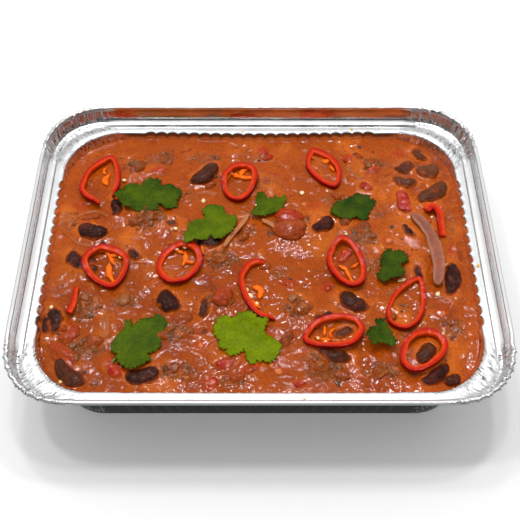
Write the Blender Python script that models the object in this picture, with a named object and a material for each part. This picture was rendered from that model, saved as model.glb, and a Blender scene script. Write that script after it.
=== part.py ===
"""Chili con carne in the rectangular foil tray that holds it.

The tray is one ribbed foil shell with a rolled edge. The stew is one solid up to its level, with a
pocket under every bean and chunk that shows. Rings of chilli, strips of onion and coriander leaves
lie on it. Lengths below are in millimetres; X runs along the tray, Y to its back and Z up, and the
origin is the middle of the tray's base, on the surface that it stands on.
"""
import math

import bmesh
import bpy
from mathutils import Matrix, Vector, geometry
from mathutils.bvhtree import BVHTree

MM = 0.001

# Tray
LENGTH = 227.0          # over the rolled edge
WIDTH = 177.0
HEIGHT = 48.0
RIM_RADIUS = 29.0       # corner radius of the outer edge
MOUTH_RADIUS = 25.0     # of the cavity's mouth
WALL_RADIUS = 29.0      # and of the cavity from the stew's level down
FOIL = 0.5              # wall, thicker than real foil so that it stays a solid
BEAD = 2.2              # diameter of the rolled edge
FLANGE_FOOT = 3.4       # from the outer edge to the foot of the upright flange below it
SHELF_HEIGHT = 38.0     # inner shelf round the mouth
SHELF_STEP = 1.0        # the shelf's outer half lies this much higher
STEP_INSET = 6.4        # from the outer edge to that step
MOUTH_INSET = 10.2      # from the outer edge to the mouth of the cavity
FLARE_INSET = 12.0      # to the wall at the stew's level, above which it flares out to the mouth
BASE_INSET = 18.3       # and to the wall at the base
FOOT = 2.0              # bevel between wall and base
RIB_PITCH = 5.9
RIB_DEPTH = 1.2
RIB_LOW = 5.0           # the ribs run from this height to the stew's level and fade out to the mouth
RIBBED_LENGTH = 124.0   # stretch of a long wall that has ribs
RIBBED_WIDTH = 88.0     # and of a short one
CORNER_STEPS = 6

# Stew
LEVEL = 33.0            # at the wall
CROWN = 0.8             # how much higher the middle stands
GRID = 11.0             # spacing of the points that carry its relief
GAP = 0.3               # between touching pieces

# What lies on or in it
BEAN_THICKNESS = 8.0
CHUNK_THICKNESS = 6.5
RING_WALL = 2.3         # flesh of a chilli ring
RING_HEIGHT = 3.0       # how thick the chilli is sliced
RING_STATIONS = 14
LEAF_THICKNESS = 0.6
LEAF_REACH = 3.6        # how far round each of its points a leaf feels what is under it
LAY_GAP = 0.45          # under a piece that lies on others
BAND_SLOPE = 0.18       # how steeply a ring or strip follows what is under it
LEAF_SLOPE = 0.45       # and a leaf, which is limper

# Low mounds of mince under the sauce: x, y, height, spread
MOUNDS = (
    (15, 14, 2.0, 7.5), (-58, 22, 1.9, 7.0), (-64, 55, 1.3, 5.0), (-19, -8, 1.2, 6.0),
    (53, 10, 1.3, 6.5), (19, -32, 1.2, 6.5), (-18, -27, 1.6, 6.5), (55, -65, 1.0, 6.5),
    (26, -66, 1.2, 6.0), (-36, -64, 1.1, 6.0), (-84, -30, 0.9, 8.0), (88, 4, 1.3, 9.0),
    (83, 50, 1.1, 9.0), (-85, 13, 1.2, 9.0), (-76, -8, 0.9, 9.0), (34, -46, 0.9, 9.0),
    (-40, -46, 1.0, 6.0), (90, -42, 0.8, 6.5), (-75, -55, 0.8, 6.0), (2, 44, 0.8, 7.0),
)

# Beans: x, y, length, width, turn in degrees, how far the top stands out of the stew
BEANS = (
    (-83.7, 12.3, 15.0, 9.5, -12, 3.8), (-89.5, -5.0, 15.0, 10.0, -45, 2.8),
    (-73.2, 28.7, 13.0, 8.0, 100, 2.6), (-28.9, 51.1, 19.0, 9.5, 46, 3.3),
    (-44.3, 18.3, 12.0, 7.0, -15, 1.6), (-61.7, -1.1, 11.0, 7.5, -40, 2.0),
    (-24.9, 6.9, 16.0, 9.0, 10, 2.8), (-42.8, -28.5, 15.0, 10.5, -50, 3.0),
    (-25.9, -32.0, 13.0, 7.0, 85, 2.4), (-95.9, -39.0, 17.0, 7.5, 105, 2.8),
    (-86.2, -65.9, 19.0, 7.0, -42, 2.4), (-52.2, -67.8, 16.0, 10.0, 15, 3.6),
    (29.8, -37.4, 13.0, 7.0, 20, 1.8), (38.8, -45.9, 13.0, 8.0, 20, 2.0),
    (33.3, -57.3, 18.0, 8.0, -20, 3.0), (44.3, -29.0, 17.0, 10.5, -38, 3.0),
    (31.5, 16.6, 15.0, 9.0, 45, 3.2), (43.3, 20.3, 12.0, 7.5, 70, 2.2),
    (75.0, 12.9, 12.0, 6.5, -55, 2.4), (76.6, -12.0, 15.0, 6.5, 95, 2.0),
    (92.8, -15.5, 20.0, 8.5, 83, 3.4), (75.9, -56.3, 13.0, 9.0, 58, 2.8),
    (79.0, -67.2, 18.0, 7.5, 40, 2.8), (90.0, 38.0, 20.0, 9.5, 38, 3.4),
    (76.1, 45.3, 15.0, 7.5, -12, 2.4), (77.0, 55.0, 12.0, 8.5, 35, 2.6),
    (88.8, 52.5, 13.0, 10.5, 15, 3.2), (85.5, 65.1, 11.0, 7.0, -55, 1.8),
)
BEAN_BEND = 0.10        # bend of the spine, as a share of the length

# Tomato and pepper chunks: the same values
CHUNKS = (
    (74.2, 32.0, 16.5, 9.5, 95, 2.8), (-88.8, -56.6, 22.0, 5.5, -42, 1.8),
    (-15.4, -61.2, 14.0, 7.0, 28, 1.8), (-65.8, -65.2, 13.0, 6.5, -45, 2.2),
    (55.7, 42.2, 10.0, 8.0, -30, 1.8), (4.0, 44.7, 12.0, 6.0, -60, 1.2),
)

# Chilli rings: x, y, half length, half width, turn, taper to one end, start and end of the arc
RINGS = (
    (-82.0, 46.1, 15.2, 9.2, 78, 0.30, -60, 232), (-10.4, 44.6, 12.7, 8.9, 86, 0.05, 0, 360),
    (33.6, 54.5, 13.8, 8.4, 114, 0.05, 0, 360), (-75.1, -9.8, 12.2, 10.2, 100, 0.10, 0, 360),
    (-39.0, -7.3, 11.4, 10.4, 90, 0.05, 0, 360), (2.0, -22.1, 15.8, 11.8, 96, 0.00, -12, 200),
    (42.1, -7.3, 14.9, 8.6, 99, 0.05, 0, 360), (34.0, -46.6, 13.8, 8.3, 5, 0.00, 0, 360),
    (70.0, -30.0, 14.4, 7.4, 67, 0.25, 0, 360), (74.9, -55.5, 12.8, 9.6, 50, 0.05, 0, 360),
)

# Loose strips of chilli and of onion: width, height, route
CHILLI_STRIPS = (
    (3.4, 2.4, ((85, 24.5), (88, 27), (90.8, 23.5), (91.3, 17), (91.2, 9))),
    (2.4, 2.2, ((-87.6, -21.5), (-87.8, -30), (-89.2, -36.5))),
)
ONION_STRIPS = (
    (5.6, 1.4, ((77.0, 22.6), (82.4, 17.2), (86.2, 9), (86.4, -2), (85.2, -11), (84.4, -19.5))),
    (2.2, 1.3, ((-5.4, 24), (-8.2, 18.6), (-13, 10.6), (-17.6, 1.8))),
    (2.2, 1.3, ((1.2, 19.6), (5, 17), (9.4, 13.4))),
)

# Coriander leaves: x, y and lobes, each a direction in degrees and a reach
LEAVES = (
    (-57.3, 36.2, (
        (-129, 12.8), (-79, 10.2), (-39, 13.5), (15, 16.4), (90, 12.0), (144, 12.9), (190, 16.5))),
    (-23.7, 16.9, ((-133, 17.2), (-58, 11.2), (-15, 11.9), (27, 13.4), (95, 14.5), (180, 12.0))),
    (4.4, 27.3, ((-12, 7.4), (41, 11.8), (72, 9.2), (110, 8.8), (204, 9.8), (258, 7.2))),
    (47.4, 27.8, ((-55, 9.5), (-18, 9.5), (23, 12.6), (72, 10.0), (149, 9.0), (197, 11.8), (248, 8.2))),
    (65.7, -7.8, ((-53, 7.6), (22, 8.2), (61, 10.3), (96, 9.6), (135, 7.2), (221, 11.3), (250, 11.6))),
    (55.9, -48.3, ((-45, 7.4), (20, 6.0), (93, 8.5), (131, 5.8), (188, 7.4), (236, 7.2))),
    (-56.3, -52.3, (
        (-98, 14.4), (-50, 11.2), (0, 11.2), (56, 17.6), (117, 13.8), (150, 10.2), (200, 12.0))),
    (-6.9, -48.3, (
        (-128, 12.2), (-64, 14.6), (-16, 16.2), (43, 13.2), (90, 12.4), (140, 15.6), (190, 13.8))),
)
NOTCH = 0.80            # depth of the cut between two lobes, as a share of the shorter one

# Colours are linear: red, green, blue
COLOURS = {
    "foil": ((0.80, 0.80, 0.80), 0.28, 1.0),
    "stew": ((0.50, 0.090, 0.018), 0.30, 0.0),
    "bean": ((0.045, 0.010, 0.010), 0.25, 0.0),
    "tomato": ((0.47, 0.050, 0.020), 0.30, 0.0),
    "chilli": ((0.55, 0.014, 0.004), 0.25, 0.0),
    "onion": ((0.42, 0.15, 0.075), 0.30, 0.0),
    "coriander": ((0.075, 0.14, 0.008), 0.50, 0.0),
}


def clear_scene():
    """Start from an empty scene."""
    for thing in list(bpy.data.objects):
        bpy.data.objects.remove(thing, do_unlink=True)


def make_material(name):
    """A Principled material in one of the named colours."""
    colour, roughness, metallic = COLOURS[name]
    material = bpy.data.materials.new(name)
    material.use_nodes = True
    shader = material.node_tree.nodes["Principled BSDF"]
    shader.inputs["Base Color"].default_value = (*colour, 1.0)
    shader.inputs["Roughness"].default_value = roughness
    shader.inputs["Metallic"].default_value = metallic
    return material


def make_object(name, mesh, material, sharp_angle=40):
    """Turn a bmesh in millimetres into a named object in metres, shaded smooth."""
    bmesh.ops.recalc_face_normals(mesh, faces=mesh.faces)
    bmesh.ops.scale(mesh, vec=(MM, MM, MM), verts=mesh.verts)
    data = bpy.data.meshes.new(name)
    mesh.to_mesh(data)
    mesh.free()
    data.shade_smooth()
    data.set_sharp_from_angle(angle=math.radians(sharp_angle))
    piece = bpy.data.objects.new(name, data)
    if material:
        data.materials.append(material)
    bpy.context.scene.collection.objects.link(piece)
    return piece


def bridge(mesh, first, second, whole):
    """Triangles between two closed loops of (key, vertex), whose keys rise from 0 to whole."""
    i = 0
    j = 0
    while i < len(first) or j < len(second):
        here = first[i % len(first)][1]
        there = second[j % len(second)][1]
        next_first = first[i + 1][0] if i + 1 < len(first) else whole
        next_second = second[j + 1][0] if j + 1 < len(second) else whole
        if i < len(first) and (j >= len(second) or next_first <= next_second):
            i += 1
            mesh.faces.new((here, first[i % len(first)][1], there))
        else:
            j += 1
            mesh.faces.new((here, second[j % len(second)][1], there))


# The tray's outline: four sides and four corners, eight stretches anticlockwise from the front side

STRETCHES = 8
RIM_SIDES = (LENGTH / 2 - RIM_RADIUS, WIDTH / 2 - RIM_RADIUS)   # half sides between the rim's corners
QUARTERS = ((1, -1), (1, 1), (-1, 1), (-1, -1))


def corner_radius(inset):
    """Radius of the corners: the rim's own near the rim, then that of the mouth and of the wall."""
    if inset < STEP_INSET + 1:
        return RIM_RADIUS - inset
    if inset < FLARE_INSET:
        share = (inset - MOUTH_INSET) / (FLARE_INSET - MOUTH_INSET)
        return MOUTH_RADIUS + (WALL_RADIUS - MOUTH_RADIUS) * max(share, 0)
    return WALL_RADIUS - (inset - FLARE_INSET)


def half_sides(inset):
    """Half the length of the straight sides between the corners, along X and along Y."""
    radius = corner_radius(inset)
    return LENGTH / 2 - inset - radius, WIDTH / 2 - inset - radius


def outline_point(key, inset, outwards=0.0):
    """A point on the outline: even keys start a side, odd keys a corner, decimals go along it."""
    stretch = int(key)
    quarter = stretch // 2
    along = key - stretch
    half_x, half_y = half_sides(inset)
    corners = [Vector((half_x * right, half_y * back)) for right, back in QUARTERS]
    if stretch % 2:
        centre = corners[quarter]
        angle = (quarter - 1 + along) * 90
    else:
        start = corners[quarter - 1]
        end = corners[quarter]
        half_side = (end - start).length / 2
        place = (2 * along - 1) * RIM_SIDES[quarter % 2]
        centre = start.lerp(end, 0.5 + max(-half_side, min(place, half_side)) / (2 * half_side))
        angle = (quarter - 1) * 90
    normal = Vector((math.cos(math.radians(angle)), math.sin(math.radians(angle))))
    return centre + normal * (corner_radius(inset) + outwards)


def corner_keys():
    """Keys of the points that every loop has: the ends of the sides and the steps round the corners."""
    keys = []
    for quarter in range(4):
        keys.append(2.0 * quarter)
        keys += [2 * quarter + 1 + step / CORNER_STEPS for step in range(CORNER_STEPS)]
    return keys


def rib_keys():
    """Keys of the ribs' crests and hollows along each side; the hollows are pressed outwards."""
    keys = []
    for quarter in range(4):
        ribbed = RIBBED_LENGTH if quarter % 2 == 0 else RIBBED_WIDTH
        steps = 2 * round(ribbed / RIB_PITCH)
        for step in range(steps + 1):
            place = ribbed * (step / steps - 0.5)
            key = 2 * quarter + 0.5 + place / (2 * RIM_SIDES[quarter % 2])
            keys.append((key, RIB_DEPTH * (step % 2)))
    return keys


def side_keys(spacing, inset):
    """Keys of points spread evenly along the straight sides of the outline at an inset."""
    keys = []
    for quarter in range(4):
        half_side = half_sides(inset)[quarter % 2]
        steps = round(2 * half_side / spacing)
        for step in range(1, steps):
            place = half_side * (2 * step / steps - 1)
            keys.append(2 * quarter + 0.5 + place / (2 * RIM_SIDES[quarter % 2]))
    return keys


def wall_inset(height):
    """How far the inner face of the wall is from the outer edge."""
    if height > LEVEL:
        return FLARE_INSET + (MOUTH_INSET - FLARE_INSET) * (height - LEVEL) / (SHELF_HEIGHT - LEVEL)
    return BASE_INSET + (FLARE_INSET - BASE_INSET) * height / LEVEL


def add_loop(mesh, inset, height, ribbed=False):
    """A loop of vertices round the tray, with or without the ribs."""
    places = [(key, 0.0) for key in corner_keys()]
    if ribbed:
        places = sorted(places + rib_keys())
    loop = []
    for key, outwards in places:
        point = outline_point(key, inset, outwards)
        loop.append((key, mesh.verts.new((point.x, point.y, height))))
    return loop


def tray_profile():
    """The foil's section from the middle of the floor up the inside, over the edge and down again."""
    bead_radius = BEAD / 2
    bead_height = HEIGHT - bead_radius
    upper_shelf = SHELF_HEIGHT + SHELF_STEP
    rows = [
        (wall_inset(FOIL) + FOOT, FOIL, False),
        (wall_inset(FOIL + FOOT), FOIL + FOOT, False),
        (wall_inset(RIB_LOW), RIB_LOW, True),
        (FLARE_INSET, LEVEL, True),
        (MOUTH_INSET, SHELF_HEIGHT, False),
        (STEP_INSET + 0.4, SHELF_HEIGHT, False),
        (STEP_INSET - 0.4, upper_shelf, False),
        (FLANGE_FOOT, upper_shelf, False),
    ]
    for step in range(5):
        angle = math.radians(45 * step)
        inset = bead_radius + bead_radius * math.cos(angle)
        rows.append((inset, bead_height + bead_radius * math.sin(angle), False))
    rows += [
        (BEAD - FOIL, bead_height - 0.75 * bead_radius, False),
        (FLANGE_FOOT - FOIL, upper_shelf - FOIL, False),
        (STEP_INSET - 0.4, upper_shelf - FOIL, False),
        (STEP_INSET + 0.4, SHELF_HEIGHT - FOIL, False),
        (MOUTH_INSET - 0.4, SHELF_HEIGHT - FOIL, False),
        (FLARE_INSET - FOIL, LEVEL - FOIL, True),
        (wall_inset(RIB_LOW) - FOIL, RIB_LOW, True),
        (wall_inset(FOOT) - FOIL, FOOT, False),
        (wall_inset(0) + FOOT - FOIL / 2, 0.0, False),
    ]
    return rows


def make_tray(material):
    """The foil tray, one closed shell."""
    mesh = bmesh.new()
    loops = [add_loop(mesh, *row) for row in tray_profile()]
    for lower, upper in zip(loops, loops[1:]):
        bridge(mesh, lower, upper, STRETCHES)
    mesh.faces.new([vertex for _, vertex in loops[0]])
    mesh.faces.new([vertex for _, vertex in reversed(loops[-1])])
    return make_object("tray", mesh, material)


def surface(x, y):
    """Height of the stew's surface: a faint crown with the mounds on it."""
    height = LEVEL + CROWN * (1 - (2 * x / LENGTH) ** 2) * (1 - (2 * y / WIDTH) ** 2)
    for mound_x, mound_y, rise, spread in MOUNDS:
        away = (x - mound_x) ** 2 + (y - mound_y) ** 2
        height += rise * math.exp(-away / (2 * spread ** 2))
    return height


def inside_outline(x, y, inset, margin):
    """Whether a point lies at least a margin inside the outline at an inset."""
    half_x, half_y = half_sides(inset)
    over_x = max(abs(x) - half_x, 0)
    over_y = max(abs(y) - half_y, 0)
    return math.hypot(over_x, over_y) < corner_radius(inset) - margin


def stew_points(edge_inset):
    """The top's boundary keys, and a staggered grid of points inside the boundary."""
    keys = sorted(corner_keys() + side_keys(GRID, edge_inset))
    edge = [outline_point(key, edge_inset) for key in keys]
    inner = []
    row_step = GRID * math.sqrt(3) / 2
    rows = int(WIDTH / 2 / row_step)
    columns = int(LENGTH / 2 / GRID)
    for row in range(-rows, rows + 1):
        for column in range(-columns, columns + 1):
            x = (column + 0.5 * (row % 2)) * GRID
            y = row * row_step
            if inside_outline(x, y, edge_inset, 0.5 * GRID):
                inner.append(Vector((x, y)))
    return keys, edge, inner


def make_stew(material):
    """The stew, one solid that fills the tray up to its level and carries the relief on top."""
    mesh = bmesh.new()
    edge_inset = wall_inset(LEVEL) + GAP
    keys, edge, inner = stew_points(edge_inset)
    rim = list(range(len(edge)))
    points, _, faces, origins, _, _ = geometry.delaunay_2d_cdt(edge + inner, [], [rim], 1, 1e-4)
    top = [mesh.verts.new((point.x, point.y, surface(point.x, point.y))) for point in points]
    for face in faces:
        mesh.faces.new([top[corner] for corner in face])
    place = {}
    for index, sources in enumerate(origins):
        for source in sources:
            place[source] = index
    upper = [(key, top[place[number]]) for number, key in enumerate(keys)]
    foot_loop = add_loop(mesh, wall_inset(FOIL + FOOT) + GAP, FOIL + FOOT)
    floor_loop = add_loop(mesh, wall_inset(FOIL) + FOOT + GAP, FOIL + GAP)
    bridge(mesh, foot_loop, upper, STRETCHES)
    bridge(mesh, floor_loop, foot_loop, STRETCHES)
    mesh.faces.new([vertex for _, vertex in floor_loop])
    return make_object("chili", mesh, material)


def lump_mesh(length, width, thickness, bend, rings=4, sides=7):
    """A closed, blunt-ended lump along X whose spine bends towards +Y at its ends."""
    mesh = bmesh.new()
    spine_bend = bend * length
    loops = []
    for ring in range(1, rings + 1):
        turn = math.pi * ring / (rings + 1)
        along = -math.cos(turn)
        swell = math.sin(turn) ** 0.75
        loop = []
        for side in range(sides):
            angle = 2 * math.pi * side / sides
            x = along * length / 2
            y = swell * width / 2 * math.cos(angle) + spine_bend * (along ** 2 - 0.4)
            z = swell * thickness / 2 * math.sin(angle)
            loop.append(mesh.verts.new((x, y, z)))
        loops.append(loop)
    for loop, following in zip(loops, loops[1:]):
        for side in range(sides):
            after = (side + 1) % sides
            mesh.faces.new((loop[side], loop[after], following[after], following[side]))
    for loop, end in ((loops[0], -1), (loops[-1], 1)):
        tip = mesh.verts.new((end * length / 2, spine_bend * 0.6, 0))
        for side in range(sides):
            mesh.faces.new((tip, loop[side], loop[(side + 1) % sides]))
    return mesh


def sink_lump(name, place, thickness, bend, material, stew):
    """Set a bean or chunk into the stew, and cut a pocket for it that leaves the gap all round."""
    x, y, length, width, turn, stands_out = place
    height = surface(x, y) + stands_out - thickness / 2
    matrix = Matrix.Translation(Vector((x, y, height)) * MM) @ Matrix.Rotation(math.radians(turn), 4, "Z")
    piece = make_object(name, lump_mesh(length, width, thickness, bend), material, sharp_angle=80)
    piece.matrix_world = matrix
    extra = 2.4 * GAP
    pocket_mesh = lump_mesh(length + extra, width + extra, thickness + extra, bend)
    pocket = make_object(f"pocket_{name}", pocket_mesh, None)
    pocket.matrix_world = matrix
    pocket.hide_render = True
    pocket.display_type = "WIRE"
    cut = stew.modifiers.new(f"pocket for {name}", "BOOLEAN")
    cut.operation = "DIFFERENCE"
    cut.solver = "EXACT"
    cut.object = pocket
    return piece


def support_under(pieces):
    """A search tree over the evaluated faces of pieces, in millimetres."""
    bpy.context.view_layer.update()
    depsgraph = bpy.context.evaluated_depsgraph_get()
    points = []
    faces = []
    for piece in pieces:
        shape = piece.evaluated_get(depsgraph)
        data = shape.to_mesh()
        start = len(points)
        points += [piece.matrix_world @ vertex.co / MM for vertex in data.vertices]
        faces += [[start + corner for corner in face.vertices] for face in data.polygons]
        shape.to_mesh_clear()
    return BVHTree.FromPolygons(points, faces)


def lay_heights(places, support, reach, slope):
    """Heights at which a limp piece, given by its places, lies clear of the support."""
    steps = [share * reach for share in (-1, -0.5, 0, 0.5, 1)]
    offsets = [(step_x, step_y) for step_x in steps for step_y in steps]
    down = Vector((0, 0, -1))
    needed = []
    for place in places:
        heights = []
        for offset_x, offset_y in offsets:
            hit = support.ray_cast(Vector((place.x + offset_x, place.y + offset_y, 2 * HEIGHT)), down)[0]
            if hit:
                heights.append(hit.z)
        needed.append(max(heights) + LAY_GAP)
    laid = []
    for place in places:
        laid.append(max(need - slope * (place - other).length for other, need in zip(places, needed)))
    return laid


def make_band(name, route, width, height, closed, support, material):
    """A band of rectangular section that lies along a route of places."""
    count = len(route)
    reach = max((route[step] - route[step - 1]).length for step in range(1, count))
    heights = lay_heights(route, support, reach, BAND_SLOPE)
    mesh = bmesh.new()
    sections = []
    for step, (place, low) in enumerate(zip(route, heights)):
        before = route[(step - 1) % count] if closed else route[max(step - 1, 0)]
        after = route[(step + 1) % count] if closed else route[min(step + 1, count - 1)]
        tangent = (after - before).normalized()
        across = Vector((tangent.y, -tangent.x)) * width / 2
        corners = ((across, 0), (across, height), (-across, height), (-across, 0))
        points = [(place.x + side.x, place.y + side.y, low + rise) for side, rise in corners]
        sections.append([mesh.verts.new(point) for point in points])
    followers = sections[1:] + sections[:1] if closed else sections[1:]
    for section, following in zip(sections, followers):
        for corner in range(4):
            after = (corner + 1) % 4
            mesh.faces.new((section[corner], section[after], following[after], following[corner]))
    if not closed:
        mesh.faces.new(sections[0])
        mesh.faces.new(sections[-1])
    return make_object(name, mesh, material)


def ring_route(x, y, half_length, half_width, turn, taper, start, end):
    """The middle line of a slice across a chilli: an oval, narrower at one end, whole or an arc."""
    closed = end - start == 360
    steps = RING_STATIONS if closed else RING_STATIONS - 1
    centre = Vector((x, y))
    facing = Matrix.Rotation(math.radians(turn), 2)
    route = []
    for step in range(RING_STATIONS):
        angle = math.radians(start + (end - start) * step / steps)
        along = half_length * math.cos(angle)
        aside = half_width * math.sin(angle) * (1 - taper * math.cos(angle))
        route.append(centre + facing @ Vector((along, aside)))
    return route, closed


def strip_route(points, spacing=4.5):
    """Places along a smooth curve through the route's points."""
    knots = [Vector(point) for point in points]
    knots = [2 * knots[0] - knots[1]] + knots + [2 * knots[-1] - knots[-2]]
    route = []
    for before, start, end, after in zip(knots, knots[1:], knots[2:], knots[3:]):
        pieces = max(round((end - start).length / spacing), 1)
        for piece in range(pieces):
            t = piece / pieces
            curve = 2 * start + (end - before) * t
            curve += (2 * before - 5 * start + 4 * end - after) * t ** 2
            curve += (3 * start - before - 3 * end + after) * t ** 3
            route.append(curve / 2)
    route.append(knots[-2])
    return route


def leaf_outline(lobes):
    """Blunt lobes with notches between them, as (direction, reach) in degrees and millimetres."""
    outline = []
    count = len(lobes)
    for index, (direction, reach) in enumerate(lobes):
        ahead, next_reach = lobes[(index + 1) % count]
        behind = lobes[index - 1][0]
        gap_ahead = (ahead - direction) % 360
        gap_behind = (direction - behind) % 360
        outline.append((direction - 0.24 * gap_behind, reach * 0.96, False))
        outline.append((direction + 0.24 * gap_ahead, reach * 0.96, False))
        outline.append((direction + 0.5 * gap_ahead, NOTCH * min(reach, next_reach), True))
    return outline


def make_leaf(name, x, y, lobes, support, material):
    """A coriander leaf, a thin lobed sheet that lies over whatever is under it."""
    centre = Vector((x, y))
    outline = leaf_outline(lobes)
    first = outline[0][0]
    edge = []
    middle = []
    for direction, reach, is_notch in outline:
        key = direction - first
        away = Vector((math.cos(math.radians(direction)), math.sin(math.radians(direction))))
        edge.append((key, centre + away * reach))
        if is_notch:
            middle.append((key, centre + away * reach * 0.55))
    places = [place for _, place in edge + middle] + [centre]
    heights = lay_heights(places, support, LEAF_REACH, LEAF_SLOPE)
    mesh = bmesh.new()
    skins = []
    for thickness in (0, LEAF_THICKNESS):
        verts = []
        for place, low in zip(places, heights):
            verts.append(mesh.verts.new((place.x, place.y, low + thickness)))
        edge_loop = [(key, vertex) for (key, _), vertex in zip(edge, verts)]
        middle_loop = [(key, vertex) for (key, _), vertex in zip(middle, verts[len(edge):])]
        bridge(mesh, edge_loop, middle_loop, 360)
        for index, (_, vertex) in enumerate(middle_loop):
            mesh.faces.new((vertex, middle_loop[(index + 1) % len(middle_loop)][1], verts[-1]))
        skins.append(edge_loop)
    bridge(mesh, skins[0], skins[1], 360)
    return make_object(name, mesh, material)


def main():
    clear_scene()
    materials = {name: make_material(name) for name in COLOURS}
    make_tray(materials["foil"])
    stew = make_stew(materials["stew"])
    pieces = [stew]
    for number, place in enumerate(BEANS, 1):
        name = f"bean_{number:02d}"
        pieces.append(sink_lump(name, place, BEAN_THICKNESS, BEAN_BEND, materials["bean"], stew))
    for number, place in enumerate(CHUNKS, 1):
        name = f"tomato_{number}"
        pieces.append(sink_lump(name, place, CHUNK_THICKNESS, 0.0, materials["tomato"], stew))
    support = support_under(pieces)
    laid = []
    for number, ring in enumerate(RINGS, 1):
        route, closed = ring_route(*ring)
        name = f"chilli_ring_{number:02d}"
        laid.append(make_band(name, route, RING_WALL, RING_HEIGHT, closed, support, materials["chilli"]))
    for kind, strips in (("chilli", CHILLI_STRIPS), ("onion", ONION_STRIPS)):
        for number, (width, height, points) in enumerate(strips, 1):
            name = f"{kind}_strip_{number}"
            route = strip_route(points)
            laid.append(make_band(name, route, width, height, False, support, materials[kind]))
    support = support_under(pieces + laid)
    for number, (x, y, lobes) in enumerate(LEAVES, 1):
        make_leaf(f"coriander_leaf_{number}", x, y, lobes, support, materials["coriander"])


main()
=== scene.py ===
# %% [markdown]
# # Chili con carne in a foil tray
#
# This lesson dresses a plain solid model of a takeaway chili: a pressed aluminium tray, a stew with
# mince in it, kidney beans, tomato, slices of fresh chilli, a little onion and coriander leaves. The
# solid model says where everything is. Each piece below takes its place from it and adds the form
# and the finish that make it look like food.
#
# The first cell loads that model and keeps its parts, so that their boxes and points can be read. Shapes are
# worked out in millimetres, because beans and seeds are easy to picture that way, and turned into
# metres as each mesh is made.

# %% Load the solid model
import math

import bmesh
import bpy
import numpy as np
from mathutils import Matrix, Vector, geometry
from mathutils.bvhtree import BVHTree


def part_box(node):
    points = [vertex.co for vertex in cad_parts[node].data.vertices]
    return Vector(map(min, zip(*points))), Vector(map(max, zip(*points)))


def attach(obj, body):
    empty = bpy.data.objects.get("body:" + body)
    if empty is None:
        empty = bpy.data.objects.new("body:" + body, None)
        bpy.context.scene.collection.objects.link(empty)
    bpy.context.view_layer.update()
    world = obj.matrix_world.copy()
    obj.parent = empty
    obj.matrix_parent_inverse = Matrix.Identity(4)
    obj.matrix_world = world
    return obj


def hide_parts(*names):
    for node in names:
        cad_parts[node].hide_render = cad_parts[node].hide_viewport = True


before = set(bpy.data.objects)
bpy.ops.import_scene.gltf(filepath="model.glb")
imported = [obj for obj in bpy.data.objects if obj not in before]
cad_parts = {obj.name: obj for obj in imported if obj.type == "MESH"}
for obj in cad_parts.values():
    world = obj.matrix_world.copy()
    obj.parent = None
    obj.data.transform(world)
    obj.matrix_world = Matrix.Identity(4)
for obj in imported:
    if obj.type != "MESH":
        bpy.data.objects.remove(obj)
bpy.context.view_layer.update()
MM = 0.001

# %% [markdown]
# ## Camera
#
# Food is usually shot at the angle at which a diner sees it, here about 55 degrees down. A lens of
# 60 mm on a full frame keeps the near rim from looking much larger than the far one. The place of
# the camera is a named value and not a fitted one, because a viewer only has to see the same things.

# %% Place the camera
CAMERA_PLACE = (0.2, -248.3, 379.9)
CAMERA_TILT = 35.2      # degrees from looking straight down
LENS = 59.68

scene = bpy.context.scene
camera_data = bpy.data.cameras.new("camera")
camera_data.lens = LENS
camera = bpy.data.objects.new("camera", camera_data)
camera.location = Vector(CAMERA_PLACE) * MM
camera.rotation_euler = (math.radians(CAMERA_TILT), 0, 0)
scene.collection.objects.link(camera)
scene.camera = camera
print("camera is", round(camera.location.length, 3), "m from the tray")

# %% [markdown]
# ## Light and floor
#
# Bright foil is a mirror: it looks the way its surroundings look. A pale dome above gives it the
# white shelves, and a dark half below the horizon gives the outer walls their grey, because they
# lean over and look down. The dome's brightness follows the height of the direction in the World
# shader, with one list of levels for the side before the tray and one for the side behind it. One
# broad lamp behind the tray gives the leaves and slices a soft shadow towards the viewer. It is
# kept out of reflections, where it would lie on the wet stew as a pale veil. Four small lamps
# overhead add light and crisper shadows. Four stronger ones hang in the same places: only the wet
# food sees them, and only in its gloss, where they make the sparks.

# %% Light the dome
# The height of a direction, from -1 straight down to 1 straight up, and how bright it is there:
# towards the viewer, and behind the tray, where a pale backdrop stands
SKY_BEFORE = (
    (-1.0, 0.03), (-0.93, 0.05), (-0.84, 0.50), (-0.30, 0.55), (-0.06, 0.05), (0.25, 0.05), (0.42, 0.16),
    (0.56, 0.60), (0.84, 0.85), (1.0, 0.78),
)
SKY_BEHIND = (
    (-1.0, 0.03), (-0.93, 0.05), (-0.84, 0.50), (-0.30, 0.60), (-0.06, 0.75), (0.25, 0.75), (0.42, 0.80),
    (0.56, 0.90), (0.84, 0.92), (1.0, 0.78),
)

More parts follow.
